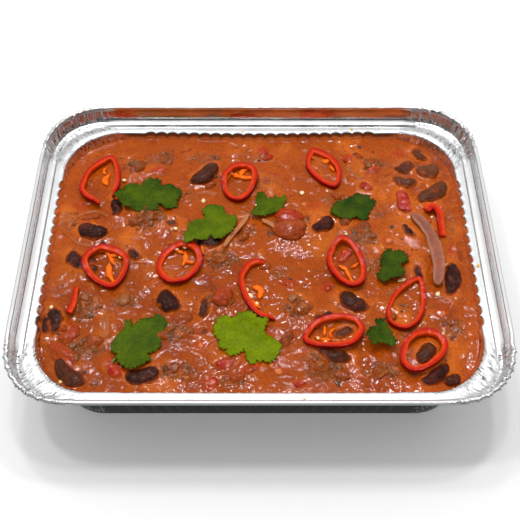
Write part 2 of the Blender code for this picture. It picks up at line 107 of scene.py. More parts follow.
world = bpy.data.worlds.new("studio")
scene.world = world
world.use_nodes = True
tree = world.node_tree
direction = tree.nodes.new("ShaderNodeTexCoord")
parts = tree.nodes.new("ShaderNodeSeparateXYZ")
half = tree.nodes.new("ShaderNodeMath")
half.operation = "MULTIPLY_ADD"
half.inputs[1].default_value = 0.5
half.inputs[2].default_value = 0.5
behind = tree.nodes.new("ShaderNodeMapRange")
behind.inputs["From Min"].default_value = 0.0
behind.inputs["From Max"].default_value = 0.45
mix = tree.nodes.new("ShaderNodeMix")
mix.data_type = "RGBA"
tree.links.new(direction.outputs["Generated"], parts.inputs[0])
tree.links.new(parts.outputs["Z"], half.inputs[0])
tree.links.new(parts.outputs["Y"], behind.inputs["Value"])
tree.links.new(behind.outputs["Result"], mix.inputs["Factor"])
for levels_of_sky, socket in ((SKY_BEFORE, mix.inputs[6]), (SKY_BEHIND, mix.inputs[7])):
    levels = tree.nodes.new("ShaderNodeValToRGB")
    ramp = levels.color_ramp
    while len(ramp.elements) < len(levels_of_sky):
        ramp.elements.new(0.5)
    for element, (rise, level) in zip(ramp.elements, levels_of_sky):
        element.position = 0.5 + rise / 2
        element.color = (level, level, level, 1)
    tree.links.new(half.outputs[0], levels.inputs["Fac"])
    tree.links.new(levels.outputs["Color"], socket)
tree.links.new(mix.outputs[2], tree.nodes["Background"].inputs["Color"])
print("dome:", len(SKY_BEFORE), "levels of brightness")


# %% Hang the lamps
def hang_lamp(name, place, size, power):
    """A square lamp, its place in millimetres, that faces the middle of the stew."""
    lamp_data = bpy.data.lights.new(name, "AREA")
    lamp_data.size = size
    lamp_data.energy = power
    lamp = bpy.data.objects.new(name, lamp_data)
    lamp.location = Vector(place) * MM
    facing = Vector((0, 0, 35)) - Vector(place)
    lamp.rotation_euler = facing.to_track_quat("-Z", "Y").to_euler()
    scene.collection.objects.link(lamp)
    return lamp


OVERHEAD = ((-120, 250, 820), (140, 190, 820), (0, 90, 850), (-250, 40, 800))
# Each lamp: its size in metres and its power in watts
BROAD = (0.50, 0.7)
SMALL = (0.06, 0.90)
GLINT = (0.035, 3.0)

broad = hang_lamp("broad_lamp", (-160, 300, 800), *BROAD)
broad.visible_glossy = False
for number, place in enumerate(OVERHEAD):
    hang_lamp(f"high_lamp_{number + 1}", place, *SMALL)
# These light the wet food alone, and show in its gloss alone: on foil they would be white patches
wet_food = bpy.data.collections.new("wet food")
for number, place in enumerate(OVERHEAD):
    spark = hang_lamp(f"spark_lamp_{number + 1}", place, *GLINT)
    spark.visible_diffuse = False
    spark.light_linking.receiver_collection = wet_food

# %% Lay the floor
bpy.ops.mesh.primitive_plane_add(size=4)
floor = bpy.context.object
floor.name = "floor"
floor.visible_glossy = False
floor_material = bpy.data.materials.new("white table")
floor_material.use_nodes = True
floor_shader = floor_material.node_tree.nodes["Principled BSDF"]
floor_shader.inputs["Base Color"].default_value = (0.93, 0.93, 0.93, 1)
floor_shader.inputs["Roughness"].default_value = 0.9
floor_shader.inputs["Specular IOR Level"].default_value = 0.0
floor.data.materials.append(floor_material)
scene.view_settings.view_transform = "Standard"
print("floor laid, colours shown as they are")

# %% [markdown]
# ## Tools for making pieces
#
# Most of the pieces are grids or loops of points that follow a rule. Blender can make them with its
# operators one face at a time, but numpy works out tens of thousands of points in one go, and
# `from_pydata` turns them into a mesh. Colour that belongs to a place, such as a brown patch of
# mince, is stored on the points as an attribute that the material reads. The random bumps come from
# a seeded table, so they are the same on every run.


# %% Make a piece from points and faces
def make_piece(name, points, faces, material, slot, replaced=(), face_material=None):
    """A smooth mesh piece in metres from points in millimetres, riding with the tray."""
    data = bpy.data.meshes.new(name)
    data.from_pydata(np.asarray(points) * MM, [], faces)
    data.shade_smooth()
    materials = material if isinstance(material, (list, tuple)) else [material]
    for item in materials:
        data.materials.append(item)
    if face_material is not None:
        data.polygons.foreach_set("material_index", np.asarray(face_material, dtype=np.int32))
    data.update()
    piece = bpy.data.objects.new(name, data)
    scene.collection.objects.link(piece)
    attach(piece, "root")
    if slot in ("sauce", "mince", "tomato"):
        wet_food.objects.link(piece)
    if replaced:
        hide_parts(*replaced)
    print(f"{name}: {len(data.vertices)} points, {len(data.polygons)} faces")
    return piece


def paint(piece, name, values):
    """Store a colour (three numbers) or an amount (one) on every point of a piece."""
    values = np.asarray(values, dtype=np.float32)
    if values.ndim == 2:
        attribute = piece.data.attributes.new(name, "FLOAT_COLOR", "POINT")
        opaque = np.ones((len(values), 1), dtype=np.float32)
        attribute.data.foreach_set("color", np.hstack([values, opaque]).ravel())
    else:
        attribute = piece.data.attributes.new(name, "FLOAT", "POINT")
        attribute.data.foreach_set("value", values)


def give_sheet(piece, sheet):
    """Store sheet coordinates of the points as the piece's UV map."""
    layer = piece.data.uv_layers.new(name="sheet")
    corners = np.empty(len(piece.data.loops), dtype=np.int32)
    piece.data.loops.foreach_get("vertex_index", corners)
    layer.data.foreach_set("uv", sheet[corners].ravel())


def join_parts(parts):
    """Join parts, each of points and faces, into one set of points and one list of faces."""
    faces = []
    start = 0
    for places, own_faces in parts:
        faces += [[start + index for index in face] for face in own_faces]
        start += len(places)
    return np.vstack([places for places, _ in parts]), faces


def tube_faces(rows, around):
    """Quads between rings of points, with both ends filled."""
    ring = np.arange(around)
    after = (ring + 1) % around
    faces = []
    for row in range(rows - 1):
        low = row * around
        high = low + around
        faces += np.column_stack([low + ring, low + after, high + after, high + ring]).tolist()
    faces.append(ring[::-1].tolist())
    faces.append(((rows - 1) * around + ring).tolist())
    return faces


# %% Random bumps that repeat on every run
def bumps(x, y, size, seed):
    """Smooth bumps of about the given size in millimetres, between -1 and 1."""
    table = np.random.default_rng(seed).uniform(-1, 1, (128, 128))
    column = np.floor(x / size).astype(int)
    row = np.floor(y / size).astype(int)
    across = x / size - column
    along = y / size - row
    across = across * across * (3 - 2 * across)
    along = along * along * (3 - 2 * along)
    near = table[row % 128, column % 128] * (1 - across) + table[row % 128, (column + 1) % 128] * across
    far = table[(row + 1) % 128, column % 128] * (1 - across)
    far = far + table[(row + 1) % 128, (column + 1) % 128] * across
    return near * (1 - along) + far * along


def layered_bumps(x, y, size, seed, layers=3):
    """Bumps with finer and fainter ones on them."""
    total = 0.0
    for layer in range(layers):
        turned = x * 0.8 + y * 0.6, y * 0.8 - x * 0.6
        total = total + bumps(turned[0], turned[1], size / 2 ** layer, seed + layer) / 2 ** layer
    return total / 1.5


def fade(value, start, end):
    """0 before start, 1 after end, and smooth between them."""
    share = np.clip((value - start) / (end - start), 0, 1)
    return share * share * (3 - 2 * share)


def blend(first, second, share):
    """Colours between two colours."""
    share = np.asarray(share)[:, None]
    return np.asarray(first) * (1 - share) + np.asarray(second) * share


def towards(colour, tone, share):
    """Colours moved towards a tone by a share, which is one for all or one for each."""
    return colour + (np.asarray(tone) - colour) * np.reshape(share, (-1, 1))


def turn_plan(x, y, along, aside, angle):
    """Places along and beside a direction, turned by its angle and moved to x and y."""
    made_x = x + along * math.cos(angle) - aside * math.sin(angle)
    made_y = y + along * math.sin(angle) + aside * math.cos(angle)
    return made_x, made_y


def smoothed(levels, reach):
    """Levels along a route, each averaged with its neighbours as far as reach."""
    span = 2 * reach + 1
    return np.convolve(np.pad(levels, reach, mode="edge"), np.ones(span) / span, mode="valid")


print("tools ready, a sample bump:", round(float(bumps(np.array([3.3]), np.array([8.1]), 2, 5)[0]), 3))


# %% Start a material
def start_material(name, roughness, specular=0.5):
    """A Principled material that the following cells add to: its tree and its shader."""
    material = bpy.data.materials.new(name)
    material.use_nodes = True
    shader = material.node_tree.nodes["Principled BSDF"]
    shader.inputs["Roughness"].default_value = roughness
    shader.inputs["Specular IOR Level"].default_value = specular
    return material, material.node_tree, shader


def read_attribute(tree, name):
    """A node that reads a colour or an amount stored on the points."""
    node = tree.nodes.new("ShaderNodeAttribute")
    node.attribute_name = name
    return node


def noise_node(tree, size, detail=2.0, coordinate="Object", stretch=(1, 1, 1)):
    """Noise whose features are about size millimetres across."""
    place = tree.nodes.new("ShaderNodeTexCoord")
    mapping = tree.nodes.new("ShaderNodeMapping")
    mapping.inputs["Scale"].default_value = stretch
    noise = tree.nodes.new("ShaderNodeTexNoise")
    noise.inputs["Scale"].default_value = 1 / (size * MM)
    noise.inputs["Detail"].default_value = detail
    tree.links.new(place.outputs[coordinate], mapping.inputs["Vector"])
    tree.links.new(mapping.outputs["Vector"], noise.inputs["Vector"])
    return noise


def spread(tree, source, low, high, start=0.3, end=0.7):
    """Turn a value between start and end into one between low and high."""
    node = tree.nodes.new("ShaderNodeMapRange")
    node.inputs["From Min"].default_value = start
    node.inputs["From Max"].default_value = end
    node.inputs["To Min"].default_value = low
    node.inputs["To Max"].default_value = high
    tree.links.new(source, node.inputs["Value"])
    return node.outputs["Result"]


def multiply(tree, first, second):
    """The product of two values, each an output or a number."""
    node = tree.nodes.new("ShaderNodeMath")
    node.operation = "MULTIPLY"
    for socket, value in zip(node.inputs, (first, second)):
        if isinstance(value, (int, float)):
            socket.default_value = value
        else:
            tree.links.new(value, socket)
    return node.outputs[0]


def add_relief(tree, shader, height_output, depth, strength=1.0):
    """A bump of a depth in millimetres, laid over the bumps that the shader already has."""
    bump = tree.nodes.new("ShaderNodeBump")
    bump.inputs["Distance"].default_value = depth * MM
    if isinstance(strength, (int, float)):
        bump.inputs["Strength"].default_value = strength
    else:
        tree.links.new(strength, bump.inputs["Strength"])
    tree.links.new(height_output, bump.inputs["Height"])
    if shader.inputs["Normal"].is_linked:
        tree.links.new(shader.inputs["Normal"].links[0].from_socket, bump.inputs["Normal"])
    tree.links.new(bump.outputs["Normal"], shader.inputs["Normal"])


def shade_colour(tree, shader, colour_output, noise_output, darkest, lightest):
    """Vary a colour's brightness with a noise before it reaches the shader."""
    amount = spread(tree, noise_output, darkest, lightest)
    mix = tree.nodes.new("ShaderNodeVectorMath")
    mix.operation = "SCALE"
    tree.links.new(colour_output, mix.inputs[0])
    tree.links.new(amount, mix.inputs["Scale"])
    tree.links.new(mix.outputs["Vector"], shader.inputs["Base Color"])


def make_tinted_material(name, gloss, tones, relief, glow=(0.0, (0.001, 0.001, 0.001))):
    """Food whose colour is on its points.

    gloss is its roughness and specular level; tones is the size and detail of a noise, and the darkest
    and lightest that it makes the colour; relief is the size, detail, depth and strength of its bumps;
    glow is how much light comes through, and how far red, green and blue go in metres.
    """
    material, tree, shader = start_material(name, *gloss)
    if glow[0]:
        shader.inputs["Subsurface Weight"].default_value = glow[0]
        shader.inputs["Subsurface Radius"].default_value = glow[1]
    tint = read_attribute(tree, "tint").outputs["Color"]
    size, detail, darkest, lightest = tones
    tone = noise_node(tree, size, detail)
    shade_colour(tree, shader, tint, tone.outputs["Fac"], darkest, lightest)
    size, detail, depth, strength = relief
    cells = noise_node(tree, size, detail)
    add_relief(tree, shader, cells.outputs["Fac"], depth, strength)
    return material


print("material tools ready")

# %% [markdown]
# ## The foil tray
#
# The tray is pressed from one sheet. From the middle outwards it has a flat floor, a leaning wall
# with upright flutes, a flat shelf with one small step, an upright flange and a rolled edge. Real
# foil gathers at the corners, where the sheet has too much length: the wall there has fine pleats,
# the shelf small creases and the flange soft folds. A loft of closed loops suits this, because
# every loop is the same outline at another inset and height, and the flutes and pleats are pushes
# of its points outwards.

# %% The tray's outline
LENGTH = 227.0
WIDTH = 177.0
HEIGHT = 48.0
RIM_RADIUS = 29.0
MOUTH_RADIUS = 26.0
WALL_RADIUS = 28.0
STEP_INSET = 6.4
MOUTH_INSET = 10.2
FLARE_INSET = 12.0
BASE_INSET = 18.3
RIM_X = LENGTH / 2 - RIM_RADIUS
RIM_Y = WIDTH / 2 - RIM_RADIUS
FLUTES_LONG = 21        # flutes on a long wall, and half the stretch they take
HALF_FLUTED_LONG = 62.0
FLUTES_SHORT = 15
HALF_FLUTED_SHORT = 44.0
POINTS_PER_FLUTE = 8
POINTS_BESIDE = 30
POINTS_BESIDE_SHORT = 20
POINTS_PER_CORNER = 64
FLUTE_ROUND = 0.75      # the lower, the fuller a flute is and the sharper the ridges between


def corner_radius(inset):
    """Radius of the corners: the rim's own near the rim, then that of the mouth and of the wall."""
    if inset < STEP_INSET + 1:
        return RIM_RADIUS - inset
    if inset < FLARE_INSET:
        return float(np.interp(inset, (MOUTH_INSET, 11.2, FLARE_INSET), (MOUTH_RADIUS, 27.3, WALL_RADIUS)))
    return WALL_RADIUS - (inset - FLARE_INSET)


def side_places(half_side, half_fluted, flutes, beside):
    """Places along a side: even ones beside the flutes, and a few for each flute."""
    lead = np.linspace(-half_side, -half_fluted, beside, endpoint=False)
    fluted = np.linspace(-half_fluted, half_fluted, flutes * POINTS_PER_FLUTE, endpoint=False)
    trail = np.linspace(half_fluted, half_side, beside, endpoint=False)
    return np.concatenate([lead, fluted, trail])


def outline_loop():
    """For each point of the outline: its side's turn and kind, place, facing, phase and corner share."""
    parts = []
    for quarter in range(4):
        turn = math.radians(90 * quarter - 90)
        long_side = quarter % 2 == 0
        half_side = RIM_X if long_side else RIM_Y
        half_fluted = HALF_FLUTED_LONG if long_side else HALF_FLUTED_SHORT
        flutes = FLUTES_LONG if long_side else FLUTES_SHORT
        beside = POINTS_BESIDE if long_side else POINTS_BESIDE_SHORT
        places = side_places(half_side, half_fluted, flutes, beside)
        phase = np.clip((places / half_fluted + 1) / 2, 0, 1) * flutes
        corner = fade(np.abs(places), half_side - 9, half_side + 3) * 0.8
        bend = np.linspace(0, math.pi / 2, POINTS_PER_CORNER, endpoint=False)
        straight = np.column_stack([places, np.full(len(places), turn), phase, corner])
        curved = np.column_stack([np.full(len(bend), half_side), turn + bend, bend * 0, bend * 0 + 1])
        both = np.vstack([straight, curved])
        parts.append(np.column_stack([np.full(len(both), turn), np.full(len(both), long_side), both]))
    return np.vstack(parts)


loop = outline_loop()
TURN, IS_LONG, PLACE, FACING, PHASE, CORNER = loop.T
SIDE_NORMAL = np.column_stack([np.cos(TURN), np.sin(TURN)])
FORWARD = np.column_stack([-np.sin(TURN), np.cos(TURN)])
NORMAL = np.column_stack([np.cos(FACING), np.sin(FACING)])
FLUTE = np.abs(np.sin(np.pi * PHASE)) ** FLUTE_ROUND


def ring_round(inset, push):
    """The outline at an inset, pushed outwards by an amount for each point."""
    radius = corner_radius(inset)
    half_x = LENGTH / 2 - inset - radius
    half_y = WIDTH / 2 - inset - radius
    half = np.where(IS_LONG, half_x, half_y)
    reach = np.where(IS_LONG, half_y, half_x)
    fluted = np.where(IS_LONG, HALF_FLUTED_LONG, HALF_FLUTED_SHORT)
    rim_half = np.where(IS_LONG, RIM_X, RIM_Y)
    beyond = np.maximum(np.abs(PLACE) - fluted, 0) * (half - fluted) / (rim_half - fluted)
    place = np.sign(PLACE) * (np.minimum(np.abs(PLACE), fluted) + beyond)
    anchor = FORWARD * place[:, None] + SIDE_NORMAL * reach[:, None]
    return anchor + NORMAL * (radius + push)[:, None]


rim_points = ring_round(0, PLACE * 0)
steps = np.linalg.norm(np.roll(rim_points, -1, axis=0) - rim_points, axis=1)
AROUND = np.concatenate([[0], np.cumsum(steps)[:-1]])
print("outline:", len(loop), "points,", round(float(steps.sum())), "mm round the rim")

# %% [markdown]
# The pleats and folds are waves along the outline whose spacing drifts, so that no two are alike.
# They only show where the outline turns a corner. A fold that would push the foil out of its box
# is turned inwards instead, which keeps the tray at its real size.


# %% Pleats and folds
def drifting_wave(spacing, drift, seed):
    """A wave round the rim whose spacing in millimetres drifts, between 0 and 1."""
    shift = drift * bumps(AROUND, AROUND * 0 + seed, spacing * 4, seed)
    return 0.5 + 0.5 * np.sin(2 * np.pi * AROUND / spacing + shift * 2 * np.pi)


PLEATS = (drifting_wave(2.6, 0.9, 11) ** 2 * 0.7 + 0.3 * bumps(AROUND, AROUND * 0, 1.5, 12)) * CORNER
FOLDS = (drifting_wave(5.2, 1.2, 21) * 0.55 + drifting_wave(2.3, 0.9, 22) * 0.45) * CORNER
TICKS = drifting_wave(1.7, 0.8, 23) ** 2 * CORNER
CREASES = layered_bumps(AROUND, AROUND * 0 + 40, 3.4, 31, 3) * (0.08 + 0.92 * CORNER)
print("pleats up to", round(float(PLEATS.max()), 2), "folds up to", round(float(FOLDS.max()), 2))

# %% The tray's section
SHELF_HEIGHT = 38.0
FLUTE_DEPTH = 1.2
FLUTE_RISE = (2.0, 13.0)        # the flutes grow out of the wall between these heights
FOIL = 0.3
BEAD_RADIUS = 1.1
PLEAT_DEPTH = 0.20
FOLD_DEPTH = 1.0
CREASE_DEPTH = 0.26
BACK_BOW = 1.5          # the middle of the back wall's mouth bows inwards
FRONT_BOW = 0.2         # and that of the front wall outwards
BOW_RISE = (5, 30)      # the bows grow between these heights
FRONT_FADE = (34.2, 36.0)       # the front wall's flutes end between these heights
FLANGE_TOP = 45.8
FLANGE_HEIGHT = 5.2
FOOT_INSET = 2.0        # the wall turns into the floor with a bevel
STEW_LEVEL = 33.0


def bow_at(place):
    """Share of the bow at a place along a long side: 1 in its middle and 0 at its ends."""
    return np.cos(np.clip(place / RIM_X, -1, 1) * math.pi / 2) ** 2


is_back = SIDE_NORMAL[:, 1] > 0.5
is_front = SIDE_NORMAL[:, 1] < -0.5
BOW = bow_at(PLACE) * (FRONT_BOW * is_front - BACK_BOW * is_back) * (CORNER < 1)
# The flanges of the short sides stand more upright than the others
STEEP = 0.75 * (np.abs(SIDE_NORMAL[:, 0]) > 0.5) * (1 - fade(CORNER, 0, 0.8))


def wall_inset(level):
    """How far the inner face of the wall is from the outer edge at a height."""
    if level > STEW_LEVEL:
        heights = (STEW_LEVEL, 37.0, 37.6, SHELF_HEIGHT)
        return float(np.interp(level, heights, (FLARE_INSET, 11.15, 10.75, MOUTH_INSET)))
    return BASE_INSET + (FLARE_INSET - BASE_INSET) * level / STEW_LEVEL


def wall_push(level):
    """How far flutes, pleats and bow push the wall outwards at a height, all the way round."""
    flutes = fade(level, *FLUTE_RISE) * (1 - 0.85 * is_front * fade(level, *FRONT_FADE))
    pleats = PLEAT_DEPTH * PLEATS * fade(level, 4, 16)
    return FLUTE_DEPTH * FLUTE * flutes + pleats + BOW * fade(level, *BOW_RISE)


def flange_push(level, amount):
    """How far the folds, and the lean of the short sides, push the flange outwards."""
    upright = STEEP * (FLANGE_TOP - level) / FLANGE_HEIGHT
    return FOLD_DEPTH * amount * (0.4 - FOLDS) * CORNER + upright


def section_rows():
    """The foil's section: inset, height, push outwards and lift, from the floor up and back down."""
    flat = np.zeros(len(AROUND))
    rows = []
    for level in (0.3, 2.3, 5, 8, 14, 22, 29, 31, 32.5, 33.5, 34.4, 35.2, 35.9, 36.5, 37.0):
        inset = wall_inset(level) + (FOOT_INSET if level < 1 else 0.0)
        rows.append((inset, level, wall_push(level), flat))
    for inset, level, share in ((10.95, 37.35, 1.0), (10.6, 37.66, 0.95), (10.15, 37.86, 0.8),
                                (9.65, 37.95, 0.4), (9.15, 37.98, 0.1)):
        rows.append((inset, level, share * (wall_push(38) - BOW) + BOW, flat))
    for inset, level, amount in ((8.5, 38.0, 0.7), (7.9, 37.98, 1.0), (7.4, 37.95, 1.0), (6.96, 37.95, 0.9),
                                 (6.84, 38.04, 0.7), (6.44, 39.0, 0.7), (6.32, 39.09, 0.9),
                                 (5.7, 39.12, 1.0), (5.1, 39.2, 1.0), (4.6, 39.45, 0.9),
                                 (4.1, 39.9, 0.6)):
        shimmer = np.roll(CREASES, int(inset * 1.7)) * 0.5 + CREASES * 0.5
        push = BOW * fade(inset, 7, 9) + STEEP * fade(-inset, -4.6, -3.6)
        level_corner = 0.85 * CORNER * float(fade(level, 38.0, 38.9) * (1 - fade(level, 39.3, 39.8)))
        rows.append((inset, level, push, CREASE_DEPTH * amount * shimmer - level_corner))
    flange = ((3.65, 40.6, 0.6), (3.25, 41.6, 0.8), (2.92, 42.7, 0.95), (2.65, 43.8, 1.0),
              (2.42, 44.9, 0.95), (2.28, 45.8, 0.8))
    for inset, level, amount in flange:
        rows.append((inset, level, flange_push(level, amount), flat))
    centre = HEIGHT - BEAD_RADIUS
    for step in range(11):
        angle = math.radians(-18 + 22.5 * step)
        inset = BEAD_RADIUS + BEAD_RADIUS * math.cos(angle)
        level = centre + BEAD_RADIUS * math.sin(angle)
        rows.append((inset, level, -0.95 * FOLDS - 0.50 * TICKS, -0.30 * FOLDS - 0.15 * TICKS))
    for inset, level, amount in reversed(flange):
        rows.append((inset - FOIL, level - 0.1, flange_push(level, amount), flat))
    for inset, level in ((3.8, 39.6), (4.3, 39.1), (4.9, 38.8), (5.95, 38.68), (6.5, 37.68), (7.6, 37.66)):
        rows.append((inset, level, flat, flat))
    rows.append((8.5, 37.6, BOW, flat))
    for level in (37.0, 36.0, 35, 34, 31, 26, 20, 14, 8, 5.5, 4, 2.6, 1.2, 0.4):
        inset = wall_inset(level) - FOIL + (0.25 if level < 1 else 0)
        rows.append((inset, level, wall_push(level), flat))
    rows.append((wall_inset(0) + 1.2, 0.0, flat, flat))
    rows.append((wall_inset(0) + 6.0, 0.0, flat, flat))
    return rows


SECTION = section_rows()
print("section rows:", len(SECTION))


# %% Loft the tray
def loft(rows):
    """Points, faces and sheet coordinates of closed loops, one for each row, with both ends filled."""
    count = len(AROUND)
    points = []
    sheet = []
    travelled = 0.0
    before = None
    for inset, level, push, lift in rows:
        plan = ring_round(inset, push)
        points.append(np.column_stack([plan, level + lift]))
        here = np.array([inset, level])
        travelled += 0.0 if before is None else float(np.linalg.norm(here - before))
        before = here
        sheet.append(np.column_stack([AROUND, np.full(count, travelled)]))
    return np.vstack(points), tube_faces(len(rows), count), np.vstack(sheet)


CREASE_SHADE = 0.15     # how much light is left in the deepest creases of the corners
ALUMINIUM = (0.88, 0.885, 0.89)


def make_foil_material():
    """Bright rolled aluminium: long rolling lines everywhere, crumpled facets at the corners, and painted
    shade in their creases.
    """
    material, tree, shader = start_material("rolled foil", 0.16)
    shader.inputs["Metallic"].default_value = 1.0
    haze = noise_node(tree, 14, 3)
    softness = spread(tree, haze.outputs["Fac"], 0.24, 0.33)
    polish = read_attribute(tree, "polish").outputs["Fac"]
    tree.links.new(multiply(tree, softness, polish), shader.inputs["Roughness"])
    lines = noise_node(tree, 1.0, 2, "UV", (0.03, 1.4, 1))
    add_relief(tree, shader, lines.outputs["Fac"], 0.10, 0.35)
    crumple = read_attribute(tree, "crumple").outputs["Fac"]
    facets = noise_node(tree, 1.0, 3, "UV", (0.85, 0.20, 1))
    add_relief(tree, shader, facets.outputs["Fac"], 0.8, multiply(tree, crumple, 0.9))
    lined = read_attribute(tree, "lined").outputs["Fac"]
    lines = noise_node(tree, 1.0, 2, "UV", (1.1, 0.14, 1))
    cracks = spread(tree, lines.outputs["Fac"], 0, 1, 0.50, 0.57)
    add_relief(tree, shader, cracks, 0.50, multiply(tree, lined, 0.9))
    # Painted shade: thin dark lines in the creases of the corners, darkened towards CREASE_SHADE
    thin = noise_node(tree, 1.0, 1, "UV", (1.5, 0.30, 1))
    gaps = spread(tree, thin.outputs["Fac"], 0, 1, 0.60, 0.66)
    tint = read_attribute(tree, "tint").outputs["Color"]
    shade_colour(tree, shader, tint, multiply(tree, gaps, lined), 1.0, CREASE_SHADE)
    dents = noise_node(tree, 4.0, 2)
    add_relief(tree, shader, dents.outputs["Fac"], 0.25, 0.4)
    across = noise_node(tree, 1.0, 2, "UV", (0.7, 0.3, 1))
    add_relief(tree, shader, across.outputs["Fac"], 0.14, 0.6)
    return material


points, faces, sheet = loft(SECTION)
tray = make_piece("foil_tray", points, faces, make_foil_material(), "foil", ["tray"])
insets = np.array([row[0] for row in SECTION])
heights = np.array([row[1] for row in SECTION])
on_flange = fade(heights, 38.9, 40.5)
on_shelf = fade(heights, 37.5, 37.9) * (1 - on_flange)
crumple = 0.03 + CORNER[None, :] * (0.06 + 0.20 * on_shelf + 0.30 * on_flange)[:, None]
lined = 0.02 + CORNER[None, :] * (0.90 + 0.10 * on_shelf)[:, None]
on_top = fade(heights, 37.4, 37.8) * (1 - fade(heights, 39.5, 40.6))
polish = np.tile((0.50 + 0.50 * on_top)[:, None], (1, len(AROUND)))
# Painted shade: dark lines painted into the colour in the crease under the flange and in the one under the
# bead
DARK_ROWS = {6.96: 0.45, 6.84: 0.93, 6.44: 0.93, 6.32: 0.40, 2.42: 0.30, 2.28: 0.70}
darkness = np.array([DARK_ROWS.get(inset, 0.0) for inset in insets])
# How strongly that painted shade shows: patchy along the rim, strongest at the back, weaker in the corners
painted_shade_strength = np.clip(0.75 + 0.5 * layered_bumps(AROUND, 0 * AROUND, 9, 71, 2), 0.2, 1)
painted_shade_strength = painted_shade_strength * (0.30 + 0.70 * is_back) * (1 - 0.5 * CORNER)
shade = 1 - darkness[:, None] * painted_shade_strength[None, :]
# and painted shade along the back wall, just under its lip
under_lip = fade(heights, 34.6, 35.6) * (1 - fade(heights, 37.1, 37.6)) * (np.arange(len(heights)) < 20)
shade = shade * (1 - 0.75 * under_lip[:, None] * (is_back * (1 - CORNER))[None, :])
paint(tray, "tint", np.array(ALUMINIUM) * shade.ravel()[:, None])
paint(tray, "crumple", crumple.ravel())
paint(tray, "polish", polish.ravel())
paint(tray, "lined", lined.ravel())
give_sheet(tray, sheet * MM)
print("tray reaches", points.max(axis=0).round(2), "mm")

# %% [markdown]
# ## The stew
#
# The stew is a thick orange-red sauce with fine mince all through it. Its top isn't flat: it stands
# in low mounds over lumps of mince, climbs a little at the foil and round each bean, and is crumbly
# where the mince comes through. One fine grid of points gives it that relief. The grid is a
# rectangle whose corners are rounded by a formula, and its edge follows the flutes and reaches just
# into the foil, so that no gap shows. The colour is worked out on the same points: plain sauce,
# browner where the mince lies, with pale spots on the mince that are partly painted highlight, and
# redder where tomato has fallen apart. The top is also paler on its crests and deeper in its
# hollows, partly as painted light and shade.

# %% Where the stew lies
LEVEL = STEW_LEVEL
CROWN = 0.8
REACH_INTO_FOIL = 0.15
CORNER_DIP = 1.9        # the stew stands lower in the corners
GRID_STEP = 0.62
# Mounds: x, y, height, spread
MOUNDS = (
    (15, 14, 2.0, 7.5), (-58, 22, 1.9, 7.0), (-64, 55, 1.3, 5.0), (-19, -8, 1.2, 6.0),
    (53, 10, 1.3, 6.5), (19, -32, 1.2, 6.5), (-18, -27, 1.6, 6.5), (55, -65, 1.0, 6.5),
    (26, -66, 1.2, 6.0), (-36, -64, 1.1, 6.0), (-84, -30, 0.9, 8.0), (88, 4, 1.3, 9.0),
    (83, 50, 1.1, 9.0), (-85, 13, 1.2, 9.0), (-76, -8, 0.9, 9.0), (34, -46, 0.9, 9.0),
    (-40, -46, 1.0, 6.0), (90, -42, 0.8, 6.5), (-75, -55, 0.8, 6.0), (2, 44, 0.8, 7.0),
)
# Mince that shows: x, y, half length, half width, turn, how strongly
MINCE = (
    (-65, 58, 8, 5, 20, 0.9), (-52, 63, 7, 4, 0, 0.8), (-57, 21, 10, 7, 25, 1.0),
    (-18, -5, 8, 6, 20, 0.9), (15, 15, 11, 9, 10, 1.0), (51, 10, 8, 6, -20, 0.9), (55, -8, 6, 5, 0, 0.7),
    (18, -32, 7, 6, 0, 0.9), (-40, -45, 9, 6, 10, 0.9), (-37, -66, 10, 5, 0, 0.8),
    (30, -67, 11, 5, -8, 0.9), (26, -60, 8, 4, 0, 0.7), (56, -65, 9, 5, 0, 0.8), (68, -31, 4, 3, 0, 0.7),
    (90, -42, 6, 7, 0, 0.7), (-79, -54, 8, 6, 0, 0.9), (-83, -31, 8, 8, 0, 0.8), (-18, -27, 7, 5, 0, 0.9),
    (2, 45, 7, 4, 0, 0.5), (-30, 62, 9, 5, 0, 0.5), (62, 58, 8, 6, 0, 0.6), (-8, 12, 7, 5, 40, 0.6),
    (40, 34, 7, 5, 0, 0.5), (-96, 20, 5, 8, 0, 0.5), (10, -12, 6, 5, 0, 0.5), (-64, -28, 7, 5, 0, 0.6),
    (70, -45, 6, 5, 0, 0.5), (-2, 62, 8, 4, 0, 0.4), (96, 20, 4, 7, 0, 0.4), (-12, -70, 8, 4, 0, 0.5),
    (60, 26, 6, 5, 0, 0.5), (-38, 36, 7, 5, 0, 0.4),
)
# Tomato fallen apart in the sauce: the same values
TOMATO_STAINS = (
    (60, 55, 5, 6, 0, 0.8), (47, 63, 3, 3, 0, 0.9), (2, 67, 3, 4.5, 10, 1.0), (33, -20, 4, 3, 20, 0.7),
    (13, -18, 4, 3, 0, 0.6), (-53, 54, 4, 3, 0, 0.8), (-22, -71, 4, 4, 0, 0.8), (18, -72, 4, 2, 0, 0.9),
    (-4, -64, 5, 2, 20, 0.9), (-65, -62, 6, 4, -40, 0.9), (64, 8, 4, 3, 0, 0.5), (86, -35, 4, 3, 0, 0.5),
    (-27, -52, 4, 3, 0, 0.5), (-92, 30, 4, 5, 0, 0.5), (75, 66, 4, 3, 0, 0.5), (-48, -18, 4, 3, 0, 0.5),
    (-88, -45, 4, 6, 10, 0.6), (95, 0, 2, 6, 0, 0.5), (28, 30, 4, 3, 0, 0.5), (-20, 30, 3, 3, 0, 0.4),
)
print(len(MOUNDS), "mounds,", len(MINCE), "patches of mince,", len(TOMATO_STAINS), "of tomato")


# %% The height of the stew
def oval(x, y, centre_x, centre_y, half_length, half_width, turn):
    """How many times its own radius a place is away from the middle of an oval."""
    angle = math.radians(turn)
    along = (x - centre_x) * math.cos(angle) + (y - centre_y) * math.sin(angle)
    aside = (y - centre_y) * math.cos(angle) - (x - centre_x) * math.sin(angle)
    return np.sqrt((along / half_length) ** 2 + (aside / half_width) ** 2)


